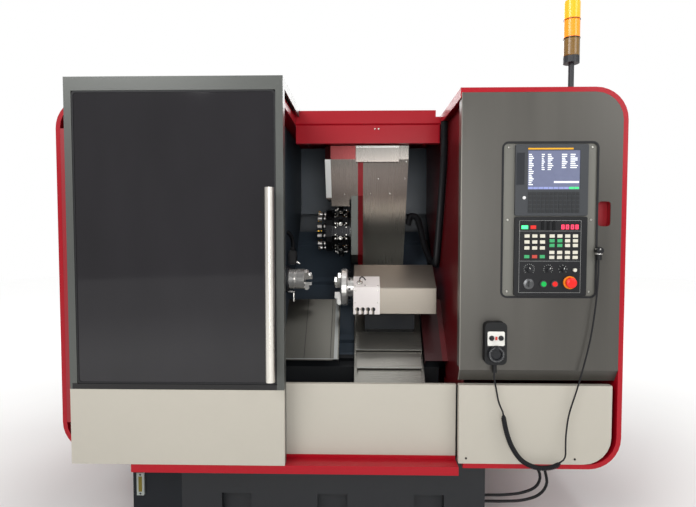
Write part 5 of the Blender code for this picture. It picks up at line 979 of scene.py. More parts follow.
class LATHE_OT_cords(bpy.types.Operator):
    """Pendant cord with its curly middle, the turret hose and the two machine cables"""

    bl_idname = "lathe.cords"
    bl_label = "Cords"

    def execute(self, context):
        sheath = rubbery("cord_sheath", (0.005, 0.005, 0.006))
        self.pendant_cord(sheath)
        self.turret_hose()
        self.cable("machine_cable_left", "machine_cable_1", sheath, [
            (0.886, -0.605, 0.3167), (0.888, -0.605, 0.285), (0.905, -0.600, 0.235),
            (0.890, -0.590, 0.185), (0.835, -0.575, 0.150), (0.760, -0.560, 0.132),
            (0.700, -0.555, 0.128), (0.6673, -0.555, 0.128),
        ])
        self.cable("machine_cable_right", "machine_cable_2", sheath, [
            (0.918, -0.605, 0.3167), (0.921, -0.605, 0.275), (0.934, -0.600, 0.205),
            (0.905, -0.590, 0.150), (0.840, -0.575, 0.117), (0.760, -0.560, 0.103),
            (0.700, -0.555, 0.100), (0.6673, -0.555, 0.100),
        ])
        return {"FINISHED"}

    def pendant_cord(self, sheath):
        """Cord that leaves the pendant, runs curly in a loop and climbs thin to its connector."""
        radius, coil_radius = size("cord_radius"), size("coil_radius")
        cord_y = FRONT - 0.021 - GAP
        coil = [
            (0.7047, cord_y - 0.012, 0.5555), (0.709, cord_y - 0.013, 0.525), (0.722, cord_y - 0.014, 0.47),
            (0.745, cord_y - 0.015, 0.415), (0.782, cord_y - 0.015, 0.366), (0.835, cord_y - 0.015, 0.340),
            (0.888, cord_y - 0.015, 0.338), (0.920, cord_y - 0.015, 0.347), (0.936, cord_y - 0.015, 0.362),
        ]
        settled = smooth_route(coil, coil_radius * 3.0)
        enter = (settled[1] - settled[0]).normalized()
        meet = settled[0] - enter * 2 * GAP
        upper = [
            (0.67, cord_y, 0.7237), (0.67, cord_y, 0.70), (0.677, cord_y - 0.002, 0.66),
            (0.686, cord_y - 0.006, 0.61), (0.6955, cord_y - 0.010, 0.582),
            tuple(meet - enter * 2.5 * radius), tuple(meet),
        ]
        along = (settled[-1] - settled[-2]).normalized()
        leave = settled[-1] + along * 2 * GAP
        plug_y = FRONT - GAP - 0.014
        lower = [
            tuple(leave), tuple(leave + along * 2.5 * radius), tuple(leave + along * 5 * radius),
            (0.9565, cord_y - 0.014, 0.392), (0.957, cord_y - 0.012, 0.425),
            (0.960, cord_y - 0.008, 0.48), (0.972, cord_y - 0.006, 0.56), (1.008, cord_y - 0.004, 0.68),
            (1.050, cord_y - 0.001, 0.85), (1.071, cord_y, 1.00), (1.081, plug_y - 0.001, 1.11),
            (1.082, plug_y, 1.150), (1.082, plug_y, 1.1797),
        ]
        start = smooth_route(upper, radius * 3)
        helix = self.curl(smooth_route(coil, coil_radius), coil_radius - radius, size("coil_turns"))
        end = smooth_route(lower, radius * 4)
        path = start[:-1] + helix + end[1:]
        shape = bmesh.new()
        add_pipe(shape, path, radius, 8)
        cord = piece("pendant_cord", shape, "machine", sheath)
        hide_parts("pendant_cord_upper", "pendant_cord_coil", "pendant_cord_lower")
        path_length(path)
        radius * 2

    def curl(self, line, reach, turns):
        """Helix about a line, faded in and out over its first and last turns."""
        each = 14
        steps = turns * each
        last = len(line) - 1
        tangents = [
            (line[min(index + 1, last)] - line[max(index - 1, 0)]).normalized() for index in range(last + 1)
        ]
        points, side = [], None
        for step in range(steps + 1):
            part = step / steps * last
            index = min(int(part), last - 1)
            place = line[index].lerp(line[index + 1], part - index)
            direction = tangents[index].lerp(tangents[index + 1], part - index).normalized()
            side = direction.orthogonal() if side is None else side
            side = (side - direction * side.dot(direction)).normalized()
            other = direction.cross(side)
            fade = min(1.0, step / each / 2, (steps - step) / each / 2)
            angle = 2 * math.pi * step / each
            points.append(place + (side * math.cos(angle) + other * math.sin(angle)) * reach * fade)
        return points

    def turret_hose(self):
        """Corrugated hose that sags from the column to the right wall and climbs up along that wall."""
        radius, pitch = 0.0185, 0.0062
        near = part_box("turret_column")[1].x + radius + GAP
        wall = 0.536
        route = [
            (near, 0.105, 1.330), (near + 0.012, 0.090, 1.375), (0.440, 0.080, 1.365), (0.462, 0.075, 1.300),
            (0.480, 0.070, 1.220), (0.508, 0.060, 1.145), (wall, 0.040, 1.115), (wall, 0.000, 1.125),
            (wall, -0.045, 1.190), (wall, -0.105, 1.320), (wall, -0.175, 1.480), (wall, -0.225, 1.620),
            (wall, -0.243, 1.700), (wall, -0.245, 1.7397), (wall, -0.245, 1.7897), (wall, -0.245, 1.8297),
        ]
        path = smooth_route(route, pitch / 2)
        sweep = [radius if index % 2 else radius * 0.86 for index in range(len(path))]
        shape = bmesh.new()
        add_pipe(shape, path, radius, 20, sweep)
        rubber = rubbery("hose_rubber", (0.006, 0.006, 0.007), 0.4)
        hose = piece("turret_hose_sleeve", shape, None, rubber)
        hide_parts("turret_hose")
        path_length(path)
        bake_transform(hose)

    def cable(self, name, node, sheath, route):
        """Smooth cable from the cabinet's underside to the base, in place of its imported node."""
        radius = 0.006
        path = smooth_route(route, radius * 3)
        shape = bmesh.new()
        add_pipe(shape, path, radius, 12)
        made = piece(name, shape, "machine", sheath)
        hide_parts(node)
        path_length(path)


class LATHE_OT_paintwork(bpy.types.Operator):
    """Finishes of the housings, panels, walls, castings and covers"""

    bl_idname = "lathe.paintwork"
    bl_label = "Paint and sheet metal"

    def execute(self, context):
        self.outside(colour("red"), colour("door"))
        self.walls(colour("red"), colour("walls"))
        self.castings(colour("slate"), colour("walls"))
        self.covers(colour("stainless"))
        self.turned_parts()
        return {"FINISHED"}

    def outside(self, red, grey):
        """Housings, roof, doors, cabinet front and cream panels."""
        housing = painted("housing_red", red, 0.34, cloud=0.05, coat=0.08, shine=0.22)
        dress(housing, "left_end_housing", "right_end_housing", "rear_roof", "door_shelf", "door_upper_track")
        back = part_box("back_panel")[0].y + 0.002
        dress(two_tone("back_grey", grey, colour("walls"), 1, back), "back_panel")
        dress(latched_door("rear_door_grey", grey, *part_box("rear_cabinet_door")), "rear_cabinet_door")
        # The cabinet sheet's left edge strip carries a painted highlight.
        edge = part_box("cabinet_front_panel")[0].x + 0.0035
        dress(satin_sheet("cabinet_sheet", colour("cabinet"), edge), "cabinet_front_panel")
        dress(framed_door("door_grey", grey, *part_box("door_window")), "door_frame")
        cream = painted("cream_panels", colour("cream"), 0.42, cloud=0.025)
        dress(cream, "cabinet_lower_panel", "middle_lower_panel", "door_lower_panel")
        tube = brushed("door_tube", paint_colour(206, 202, 194), 0.3, (700, 700, 4))
        dress(tube, "door_handle")

    def walls(self, red, blue_grey):
        """Inner walls, with a red outer edge on the left one, and the right one in housing red darkened to a
        third as painted shade, its guard part dark red-brown as a painted reflection of the red in its steel.
        """
        dress(painted("inner_walls", blue_grey, 0.38, cloud=0.08, metallic=0.1), "back_inner_wall")
        dress(two_tone("left_walls", blue_grey, toned(red, 0.8), 0, WALL_RED_EDGE), "left_inner_wall")
        # The guard's dark red-brown is a painted reflection of the red wall in its steel.
        guard = paint_colour(56, 26, 28)
        # The right wall's red is the housing red at about a third: painted shade.
        right = two_tone("right_walls", toned(red, 0.34), guard, 0, WALL_GUARD_EDGE, 0.36)
        dress(right, "right_inner_wall")

    def castings(self, slate, blue_grey):
        """Bed, coolant tank, headstocks and the painted parts inside."""
        dress(cast("bed_slate", slate), "sub_headstock")
        dress(gauged_tank("tank_slate", slate, "coolant_tank"), "coolant_tank")
        # The bed above BED_PAINT_FOOT takes the walls' blue-grey at one and a half times: blue-grey paint,
        # lightened as painted light where the bed lies in shade.
        bed = two_tone("bed_paint", toned(blue_grey, 1.5), slate, 2, BED_PAINT_FOOT, 0.55)
        dress(bed, "machine_bed")
        dark = painted("dark_coat", paint_colour(36, 38, 42), 0.5, cloud=0.1)
        dress(dark, "chip_trough", "main_headstock", "turret_saddle", "lamp_post")

    def covers(self, steel):
        """Sheet steel covers in the work area."""
        guard_steel = tuple(level * share for level, share in zip(steel, (0.47, 0.47, 0.46)))
        dress(brushed("way_guard_steel", guard_steel, 0.34), "left_way_guard")
        dress(brushed("way_cover_steel", steel, 0.3), "way_cover_1", "way_cover_2", "sub_saddle")
        # The second spindle's cover takes the stainless tinted pink: a painted reflection of the red housings
        # in the steel.
        red_reflection_steel = tuple(level * share for level, share in zip(steel, (0.80, 0.74, 0.69)))
        dress(brushed("spindle_cover", red_reflection_steel, 0.3), "sub_cover")
        pale = painted("pale_plate", paint_colour(214, 207, 204), 0.3, cloud=0.02, metallic=0.1, coat=0.3)
        dress(pale, "sub_front_plate")
        dress(column_steel("column_sheet", steel, colour("red")), "turret_column")

    def turned_parts(self):
        """Turret disc and both chucks with their jaws."""
        bronze, shank = paint_colour(150, 104, 58), paint_colour(215, 212, 208)
        dress(turret_steel("turret_steel", paint_colour(26, 26, 28), bronze, shank), "turret_disc")
        bright = paint_colour(224, 222, 218)
        main_steel = turned_steel("main_chuck_steel", bright, AXIS)
        dress(main_steel, "main_chuck", "main_jaw_1", "main_jaw_2", "main_jaw_3")
        second_steel = turned_steel("second_chuck_steel", bright, SUB_AXIS)
        dress(second_steel, "sub_chuck", "sub_jaw_1", "sub_jaw_2", "sub_jaw_3")


class LATHE_OT_window(bpy.types.Operator):
    """Smoked door window and its rubber seal"""

    bl_idname = "lathe.window"
    bl_label = "Door window"

    def execute(self, context):
        dress(smoked_glass("smoked_window", (0.012, 0.011, 0.013)), "door_window")
        low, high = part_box("door_window")
        seal = rubbery("window_seal", (0.008, 0.008, 0.009), 0.45)
        shape = bmesh.new()
        outer, inner = (
            round_corners(low.x + inset, high.x - inset, low.z + inset, high.z - inset, radius)
            for inset, radius in ((0.0005, 0.014), (0.007, 0.012))
        )
        add_frame_ring(shape, outer, inner, low.y - 0.0022, low.y - 0.0003)
        piece("window_seal", shape, "door", seal)
        return {"FINISHED"}


class LATHE_OT_controls(bpy.types.Operator):
    """Control plate, display, keys, lit lamps, dials and switches"""

    bl_idname = "lathe.controls"
    bl_label = "Operator controls"

    def execute(self, context):
        self.finishes()
        self.gasket()
        self.screws()
        self.screen()
        self.soft_keys()
        self.unit_fittings()
        self.lit_keys()
        self.panel_marks()
        self.dial_pointers()
        return {"FINISHED"}

    def finishes(self):
        """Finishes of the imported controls."""
        plate_grey = paint_colour(100, 99, 93)
        # The hand recess takes the housing red at three quarters: red paint, darkened as painted shade in the
        # recess.
        plate = recessed_plate("control_plate", plate_grey, toned(colour("red"), 0.75), RECESS_EDGE)
        dress(plate, "control_plate")
        unit = display_panel("display_unit", paint_colour(46, 48, 51), paint_colour(30, 32, 34))
        dress(unit, "display_unit")
        keys = key_panel("operation_panel", paint_colour(11, 12, 16), paint_colour(190, 186, 172))
        dress(keys, "operation_panel")
        knobs = moulded("knob_plastic", paint_colour(26, 27, 30))
        dress(knobs, "spindle_knob", "feed_knob", "rapid_knob", "pendant_wheel")
        # The start and stop buttons and the emergency stop glow faintly: painted light, since they are not
        # lit.
        green = moulded("start_green", paint_colour(20, 150, 70), 0.3, paint_colour(20, 190, 80), 0.25)
        dress(green, "start_button")
        red = moulded("stop_red", paint_colour(205, 36, 32), 0.3, paint_colour(205, 30, 24), 0.12)
        dress(red, "stop_button", "estop_button")
        dress(brushed("key_switch_metal", paint_colour(84, 85, 86), 0.3), "key_switch")

    def gasket(self):
        """Rubber gasket between the control plate and the cabinet's front."""
        black = rubbery("opening_gasket", (0.006, 0.006, 0.007), 0.5)
        low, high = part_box("control_plate")
        lap, half = 0.012, 0.004
        left, right = low.x + lap, RECESS_EDGE - half
        bottom, top = low.z + lap, high.z - lap
        outer, inner = (
            round_corners(left - spread, right + spread, bottom - spread, top + spread, radius)
            for spread, radius in ((half, 0.026), (-half, 0.018))
        )
        shape = bmesh.new()
        add_frame_ring(shape, outer, inner, FRONT - 0.0018, FRONT - 0.0002)
        piece("opening_gasket", shape, "machine", black)

    def screws(self):
        """Screws of the control plate, and the two dark ones in the cream panel below."""
        steel = brushed("screw_steel", paint_colour(190, 188, 182), 0.3, (200, 200, 200))
        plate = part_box("control_plate")[0].y - 0.0001
        places = [
            (across, plate, up) for across, up in (
                (0.7228, 1.6317), (1.0553, 1.6317), (0.7217, 1.3408), (1.0553, 1.3408), (0.7217, 1.0504),
                (1.0513, 1.0504),
            )
        ]
        screw_piece("control_screws", places, OUTWARD, size("screw_radius"), "machine", steel)
        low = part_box("cabinet_lower_panel")[0]
        black = moulded("panel_screw_black", paint_colour(12, 12, 13))
        places = [(low.x + inset, low.y - 0.0001, low.z + 0.022) for inset in (0.031, 0.476)]
        radius = size("screw_radius") * 0.9
        screw_piece("cream_panel_screws", places, OUTWARD, radius, "machine", black)

    def screen(self):
        """Lit display: a blue-grey page with readout bars, and an amber title strip above it."""
        face = PANEL_FACE + 0.0029
        left, right, low, high = 0.7975, 1.0042, 1.4625, 1.6185
        page = moulded("display_page", paint_colour(88, 92, 112), 0.2, paint_colour(96, 101, 124), 0.55)
        block = upright((left, low), (right, high), face - 0.0006, face - 0.0001)
        slab_piece("display_page", [block], "machine", page, 0.0002, 1)
        white = moulded("display_white", (0.7, 0.72, 0.75), 0.3, paint_colour(225, 228, 236), 0.8)
        front, back = face - 0.0009, face - 0.0007
        bars = []
        for column, (start, rows, width) in enumerate((
            (0.801, 17, 0.020), (0.852, 9, 0.012), (0.876, 9, 0.022), (0.932, 8, 0.022), (0.966, 8, 0.030),
        )):
            for row in range(rows):
                up = high - 0.018 - row * 0.0075
                reach = width * (0.55 + 0.45 * math.sin(row * 2.3 + column * 1.7) ** 2)
                bars.append(upright((start, up), (start + reach, up + 0.0032), front, back))
        bars.append(upright((0.902, low + 0.026), (1.001, low + 0.033), front, back))
        slab_piece("display_readouts", bars, "machine", white)
        amber = moulded("display_title", paint_colour(196, 140, 30), 0.3, paint_colour(205, 150, 30), 0.4)
        block = upright((0.797, 1.6215), (0.976, 1.6275), PANEL_FACE - 0.0006, PANEL_FACE - 0.0001)
        slab_piece("display_title", [block], "machine", amber, 0.0001, 1)

    def soft_keys(self):
        """Row of lit soft keys along the foot of the display's page, the last two of them green."""
        front = PANEL_FACE + 0.0020
        left, foot, pitch = 0.7995, 1.4640, 0.0204
        blue = moulded("soft_key_blue", paint_colour(120, 128, 170), 0.3, paint_colour(120, 128, 175), 0.5)
        green = moulded("soft_key_green", paint_colour(60, 190, 110), 0.3, paint_colour(70, 205, 120), 0.6)
        for name, finish, keys in (
            ("display_soft_keys", blue, range(0, 8)), ("display_green_keys", green, range(8, 10)),
        ):
            blocks = []
            for key in keys:
                start = left + key * pitch
                blocks.append(upright((start, foot), (start + 0.0185, foot + 0.0085), front, front + 0.0002))
            slab_piece(name, blocks, "machine", finish)

    def unit_fittings(self):
        """Dark strip beside the display's page, and the unit's round key."""
        dark = moulded("display_dark_strip", paint_colour(38, 40, 44), 0.3)
        block = upright((0.7515, 1.4816), (0.7835, 1.609), PANEL_FACE - 0.0007, PANEL_FACE - 0.0001)
        slab_piece("display_dark_strip", [block], "machine", dark, 0.0003, 1)
        round_key = moulded("round_key", paint_colour(205, 205, 205), 0.35)
        turned_piece(
            "round_key", [(0.0, 0.0032), (0.0055, 0.0032), (0.0068, 0.002), (0.0068, 0.0001)],
            [facing((0.7835, PANEL_FACE, 1.4293), OUTWARD)], "machine", round_key, 20,
        )

    def lit_keys(self):
        """Power keys, the three dark load meters and the counter's digits."""
        front = PANEL_FACE - 0.0001
        lit = moulded("power_key_lit", (0.1, 0.7, 0.3), 0.3, paint_colour(30, 255, 120), 1.0)
        # The off power key glows faintly: painted light, since the key is not lit.
        unlit = moulded("power_key_off", paint_colour(190, 45, 40), 0.3, paint_colour(190, 40, 35), 0.25)
        smoked = moulded("load_meters", paint_colour(14, 15, 17), 0.25)
        for name, finish, low, high in (
            ("power_key_lit", lit, (0.7745, 1.3040), (0.8005, 1.3185)),
            ("power_key_off", unlit, (0.8105, 1.3040), (0.8325, 1.3185)),
            ("load_meters", smoked, (0.853, 1.3000), (0.8645, 1.3350)),
            ("load_meter_middle", smoked, (0.8755, 1.3000), (0.887, 1.3350)),
            ("load_meter_right", smoked, (0.898, 1.3000), (0.9095, 1.3350)),
        ):
            block = upright(low, high, front - 0.0022, front)
            slab_piece(name, [block], "machine", finish, 0.0006)
        glowing = moulded("counter_digits", paint_colour(230, 70, 100), 0.3, paint_colour(255, 70, 105), 1.3)
        bars = [
            bar for left in (0.9345, 0.9525, 0.9725, 0.9905)
            for bar in self.digit_bars(left, 1.3035, PANEL_FACE + 0.0014)
        ]
        slab_piece("counter_digits", bars, "machine", glowing)

    def digit_bars(self, left, foot, face):
        """The bars of one counter digit, showing a zero with its middle bar."""
        wide, high, bar = 0.0115, 0.0175, 0.0023
        return [
            upright(low, top, face - 0.0008, face - 0.0001) for low, top in (
                ((left, foot), (left + wide, foot + bar)),
                ((left, foot + high - bar), (left + wide, foot + high)),
                ((left, foot + (high - bar) / 2), (left + wide, foot + (high + bar) / 2)),
                ((left, foot), (left + bar, foot + high)),
                ((left + wide - bar, foot), (left + wide, foot + high)),
            )
        ]

    def panel_marks(self):
        """Tick marks around the override knobs and thin frame lines on the operation panel."""
        marks = moulded("panel_marks", paint_colour(168, 170, 168), 0.45)
        front = PANEL_FACE - 0.0001
        left, right, line = 0.7665, 1.0125, 0.0007
        foot, crest = 1.0470, 1.3382
        shape = bmesh.new()
        for _, centre, radius, ticks, _, _ in DIALS:
            for tick in range(ticks):
                angle = math.radians(-40 + 260 * tick / (ticks - 1))
                seat = (centre, front - 0.0003, DIAL_HEIGHT)
                add_spoke(shape, seat, angle, radius, (0.0042, 0.0006, 0.0011))
        for low, high in (
            ((left, crest - line), (right, crest)), ((left, foot), (right, foot + line)),
            ((left, foot), (left + line, crest)), ((right - line, foot), (right, crest)),
            ((left, 1.1745), (right, 1.1745 + line)), ((left, 1.2955), (right, 1.2955 + line)),
        ):
            add_slab(shape, *upright(low, high, front - 0.0004, front))
        piece("panel_marks", shape, "machine", marks)

    def dial_pointers(self):
        """Pointers of the override knobs, and the mode selector beside them."""
        pointer = moulded("knob_pointers", paint_colour(222, 222, 218), 0.4)
        for name, centre, _, _, radius, turn in DIALS:
            seat = (centre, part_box(name)[0].y - 0.0003, DIAL_HEIGHT)
            shape = bmesh.new()
            add_spoke(shape, seat, math.radians(turn), radius * 0.55, (radius * 0.8, 0.0006, 0.0014))
            piece(name + "_pointer", shape, name, pointer)
        selector = moulded("mode_selector", paint_colour(196, 194, 180), 0.4)
        turned_piece(
            "mode_selector", [(0.0, 0.009), (0.0062, 0.009), (0.0074, 0.0078), (0.0074, 0.0001)],
            [facing((0.9892, PANEL_FACE, 1.1388), OUTWARD)], "machine", selector, 24,
        )


class LATHE_OT_pendant(bpy.types.Operator):
    """Hand wheel pendant: body, pale face plate, selector knobs and dial marks"""

    bl_idname = "lathe.pendant"
    bl_label = "Hand wheel pendant"

    def execute(self, context):
        case = moulded("pendant_case", paint_colour(14, 15, 17), 0.5)
        dress(case, "pendant_body", "cord_connector")
        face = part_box("pendant_body")[0].y
        self.face_plate(face)
        self.connector_collar()
        self.selectors(face)
        self.wheel_ticks()
        return {"FINISHED"}

    def face_plate(self, face):
        """Pale plate on the pendant's front."""
        pale = painted("pendant_plate", paint_colour(206, 204, 198), 0.4, cloud=0.02)
        outline = round_corners(-0.034, 0.034, -0.029, 0.029, 0.006)
        shape = bmesh.new()
        add_strip(shape, outline, 0.0012, facing((PENDANT_MIDDLE, face - 0.0001, 0.8655), OUTWARD))
        piece("pendant_plate", shape, "machine", pale)

    def connector_collar(self):
        """Two steel rings round the cord's connector."""
        steel = brushed("collar_steel", paint_colour(190, 188, 184), 0.3, (300, 300, 300))
        low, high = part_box("cord_connector")
        middle = (low + high) / 2
        reach = (high.x - low.x) / 2
        profile = [
            (reach - 0.0004, 0.0), (reach + GAP, 0.0008), (reach + GAP, 0.0062), (reach - 0.0004, 0.007),
        ]
        seats = [Matrix.Translation((middle.x, middle.y, high.z - drop)) for drop in (0.012, 0.030)]
        turned_piece("connector_collar", profile, seats, "machine", steel, 28)

    def selectors(self, face):
        """Both selectors of the face plate and the red mark between them."""
        knob = moulded("pendant_knobs", paint_colour(30, 30, 33), 0.4)
        profile = [
            (0.0, 0.014), (0.006, 0.014), (0.0072, 0.012), (0.0072, 0.004), (0.0105, 0.003), (0.0105, 0.0),
        ]
        seats = [facing((across, face - 0.0014, 0.868), OUTWARD) for across in (0.652, 0.689)]
        turned_piece("pendant_knobs", profile, seats, "machine", knob, 20)
        mark = moulded("pendant_marks", paint_colour(190, 60, 52), 0.4)
        block = upright((0.666, 0.860), (0.675, 0.874), face - 0.0019, face - 0.0013)
        slab_piece("pendant_marks", [block], "machine", mark, 0.0002, 1)

    def wheel_ticks(self):
        """Fine marks round the hand wheel, every fifth one longer."""
        pale = moulded("wheel_ticks", paint_colour(150, 150, 150), 0.45)
        centre = (PENDANT_MIDDLE, WHEEL_FACE, WHEEL_HEIGHT)
        shape = bmesh.new()
        for tick in range(WHEEL_TICKS):
            length = 0.0035 if tick % 5 else 0.006
            angle = 2 * math.pi * tick / WHEEL_TICKS
            add_spoke(shape, centre, angle, WHEEL_TICK_RADIUS, (length, 0.0006, 0.0006))
        piece("wheel_ticks", shape, "pendant_wheel", pale)


class LATHE_OT_lamp(bpy.types.Operator):
    """Lit signal lamp"""

    bl_idname = "lathe.lamp"
    bl_label = "Signal lamp"

    def execute(self, context):
        low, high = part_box("lamp_lenses")
        tier = (high.z - low.z) / 3
        lens = lamp_lens("lamp_lens", colour("amber"), paint_colour(120, 90, 40), low.z, tier)
        dress(lens, "lamp_lenses")
        dark = brushed("lamp_rings", paint_colour(60, 60, 62), 0.35, (300, 300, 3))
        centre = (low + high) / 2
        profile = [(0.0352, -0.0035), (0.0365, -0.003), (0.0365, 0.0), (0.0352, 0.0005)]
        seats = [Matrix.Translation((centre.x, centre.y, low.z + tier * count)) for count in (1, 2)]
        turned_piece("lamp_rings", profile, seats, "machine", dark, 32)
        return {"FINISHED"}


class LATHE_OT_interior(bpy.types.Operator):
    """Screws, nozzles and fittings inside the work area"""

    bl_idname = "lathe.interior"
    bl_label = "Work area fittings"

    def execute(self, context):
        steel = brushed("fitting_steel", paint_colour(214, 212, 206), 0.24, (300, 300, 300))
        black = moulded("fitting_black", paint_colour(20, 20, 22), 0.4)
        lip_steel = brushed("lip_steel", paint_colour(150, 152, 150), 0.42)
        self.column_screws(steel)
        self.turret_fittings(steel)
        self.turret_guard()
        self.keyhole_linings()
        self.coolant_fitting(steel, black)
        self.chuck_screws(black)
        self.cover_lips(lip_steel)
        self.guard_seams(lip_steel)
        self.coolant_nozzle(black)
        self.part_stop(steel)
        return {"FINISHED"}

    def column_screws(self, steel):
        """Screws on the column's leaning face, and two bolts in the front beam above it."""
        lean = Vector((0, -1.0, -COLUMN_LEAN)).normalized()
        places = [
            Vector((across, COLUMN_FACE[0] + (COLUMN_FACE[1] - up) * COLUMN_LEAN, up)) + lean * GAP
            for across, up in (
                (0.2226, 1.655), (0.3655, 1.655), (0.2224, 1.5709), (0.3629, 1.5709), (0.1817, 1.4953),
                (0.2871, 1.4953), (0.0421, 1.4924),
            )
        ]
        screw_piece("column_screws", places, lean, size("screw_radius"), "turret_slide", steel)
        places = [(across, -0.1573, 1.8118) for across in (0.1998, 0.2192)]
        screw_piece("beam_bolts", places, OUTWARD, size("screw_radius"), "machine", steel)

    def turret_fittings(self, steel):
        """Clamp screws, wedges and coolant balls on each tool holder, and an insert on each shank."""
        shape = bmesh.new()
        inserts = bmesh.new()
        axis = Matrix.Translation((0, *TURRET_AXIS))
        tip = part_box("turret_disc")[0].x
        block, head, shank = 0.1200, 0.1460, 0.0968
        clamp_screw = [(0.0, 0.0012), (0.0022, 0.0012), (0.0026, 0.0042), (0.0046, 0.0038), (0.0050, 0.0)]
        head_ring = [(0.0, 0.0), (0.0052, 0.0), (0.0060, 0.0004), (0.0100, 0.0004), (0.0104, 0.0)]
        for station in range(TURRET_STATIONS):
            holder = axis @ Matrix.Rotation(2 * math.pi * (station + 0.5) / TURRET_STATIONS, 4, "X")
            for across in (-0.0105, 0.0495):
                for side in (-0.011, 0.011):
                    seat = holder @ Matrix.Translation((across, side, block + GAP))
                    add_turned(shape, clamp_screw, seat, 10)
            add_turned(shape, head_ring, holder @ Matrix.Translation((0.0195, 0.0, head + GAP)), 16)
            wedge = holder @ Matrix.Translation((0.0005, 0.0, 0.1275))
            add_bar(shape, wedge @ Matrix.Rotation(math.radians(20), 4, "Y"), (0.0055, 0.0220, 0.0140))
            bmesh.ops.create_icosphere(
                shape, subdivisions=2, radius=0.0042,
                matrix=holder @ Matrix.Translation((0.0395, 0.0, block + 0.0035)),
            )
            tool = axis @ Matrix.Rotation(2 * math.pi * station / TURRET_STATIONS, 4, "X")
            bmesh.ops.create_cone(
                inserts, cap_ends=True, segments=3, radius1=0.0062, radius2=0.0056, depth=0.0032,
                matrix=tool @ Matrix.Translation((tip + 0.0062, 0.0, shank + 0.0118)),
            )
        piece("turret_fittings", shape, "turret_disc", steel)
        gold = Finish("insert_coating", paint_colour(196, 150, 62), 0.25, 1.0)
        gold.show("Roughness", 0.2 + gold.noise(300.0) * 0.15)
        piece("tool_inserts", inserts, "turret_disc", gold)

    def turret_guard(self):
        """Folded grey sheet with a red edge, which hangs from the column's cover in front of the hub."""
        sheet = 0.002
        front = ((-0.0035, 1.484), (0.022, 1.165), (0.070, 1.118))
        back = [(along + sheet, up + sheet / 2) for along, up in reversed(front)]
        grey = brushed("turret_guard_steel", paint_colour(80, 82, 79), 0.4, (700, 700, 4))
        # The red edge takes the housing red darkened to under half, with little shine: painted shade that
        # keeps its forward face from reading lit.
        red = painted("turret_guard_red", toned(colour("red"), 0.42), 0.55, shine=0.1)
        for name, left, right, finish, slot in (
            ("turret_guard", 0.0775, 0.1137, grey, "brushed_stainless"),
            ("turret_guard_edge", 0.1139, 0.1410, red, "red_paint"),
        ):
            sideways = Matrix(((0, 0, 1, left), (1, 0, 0, 0), (0, 1, 0, 0), (0, 0, 0, 1)))
            shape = bmesh.new()
            add_strip(shape, [*front, *back], right - left, sideways)
            piece(name, shape, "turret_slide", finish)

    def keyhole_linings(self):
        """Black pieces in the keyholes of the second spindle's pale plate: painted shadow inside the holes.
        """
        low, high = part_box("sub_front_plate")
        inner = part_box("sub_cover")[0].y - GAP
        pitch = (high.x - low.x) / (KEYHOLES + 1)
        centre_up = low.z + 0.035 - KEYHOLE_RADIUS
        radius, half = KEYHOLE_RADIUS * 0.96, KEYHOLE_RADIUS * 0.5
        shape = bmesh.new()
        for hole in range(KEYHOLES):
            across = low.x + pitch * (hole + 1)
            add_turned(
                shape, [(0.0, 0.0), (radius, 0.0), (radius, 0.004), (0.0, 0.004)],
                facing((across, inner, centre_up), OUTWARD), 20,
            )
            stem = upright((across - half, low.z + GAP), (across + half, centre_up), inner - 0.0038, inner)
            add_slab(shape, *stem)
        # Black stands in for the shadow inside each keyhole: painted shadow.
        rubber = rubbery("lining_rubber", (0.005, 0.005, 0.006))
        piece("keyhole_linings", shape, "sub_slide", rubber)

    def coolant_fitting(self, steel, black):
        """Coolant fitting with its elbow and the screws round it, on the pale plate's sloped brow."""
        low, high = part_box("sub_front_plate")
        brow = Vector((0, low.y, 1.0207))
        rise = (Vector((0, high.y, high.z)) - brow).normalized()
        normal = Vector((0, -rise.z, rise.y))
        shape = bmesh.new()
        for across, reach in ((0.1015, 0.008), (0.1500, 0.014), (0.2130, 0.010)):
            place = brow + rise * reach + normal * GAP + Vector((across, 0, 0))
            add_socket_screw(shape, place, normal, 0.0038)
        seat = brow + rise * 0.034 + normal * GAP + Vector((0.1240, 0, 0))
        profile = [
            (0.0, 0.0), (0.0145, 0.0), (0.0145, 0.0025), (0.0115, 0.0040), (0.0085, 0.0045),
            (0.0085, 0.0100), (0.0, 0.0100),
        ]
        add_turned(shape, profile, facing(seat, normal))
        piece("coolant_fitting", shape, "sub_slide", steel)
        top = seat + normal * 0.0105
        route = [
            top + normal * height + Vector(aside) for height, aside in (
                (0.0, (0, 0, 0)), (0.010, (0, 0, 0)), (0.020, (0.002, 0.001, 0)), (0.026, (0.011, 0.004, 0)),
                (0.021, (0.022, 0.008, -0.002)), (0.010, (0.028, 0.010, -0.003)),
            )
        ]
        shape = bmesh.new()
        add_pipe(shape, smooth_route(route, 0.003), 0.0030, 10)
        piece("coolant_elbow", shape, "sub_slide", black)
        places = [
            (across, low.y - GAP, up) for across in (low.x + 0.009, high.x - 0.009) for up in (0.945, 1.004)
        ]
        screw_piece("plate_screws", places, OUTWARD, 0.0036, "sub_slide", steel)

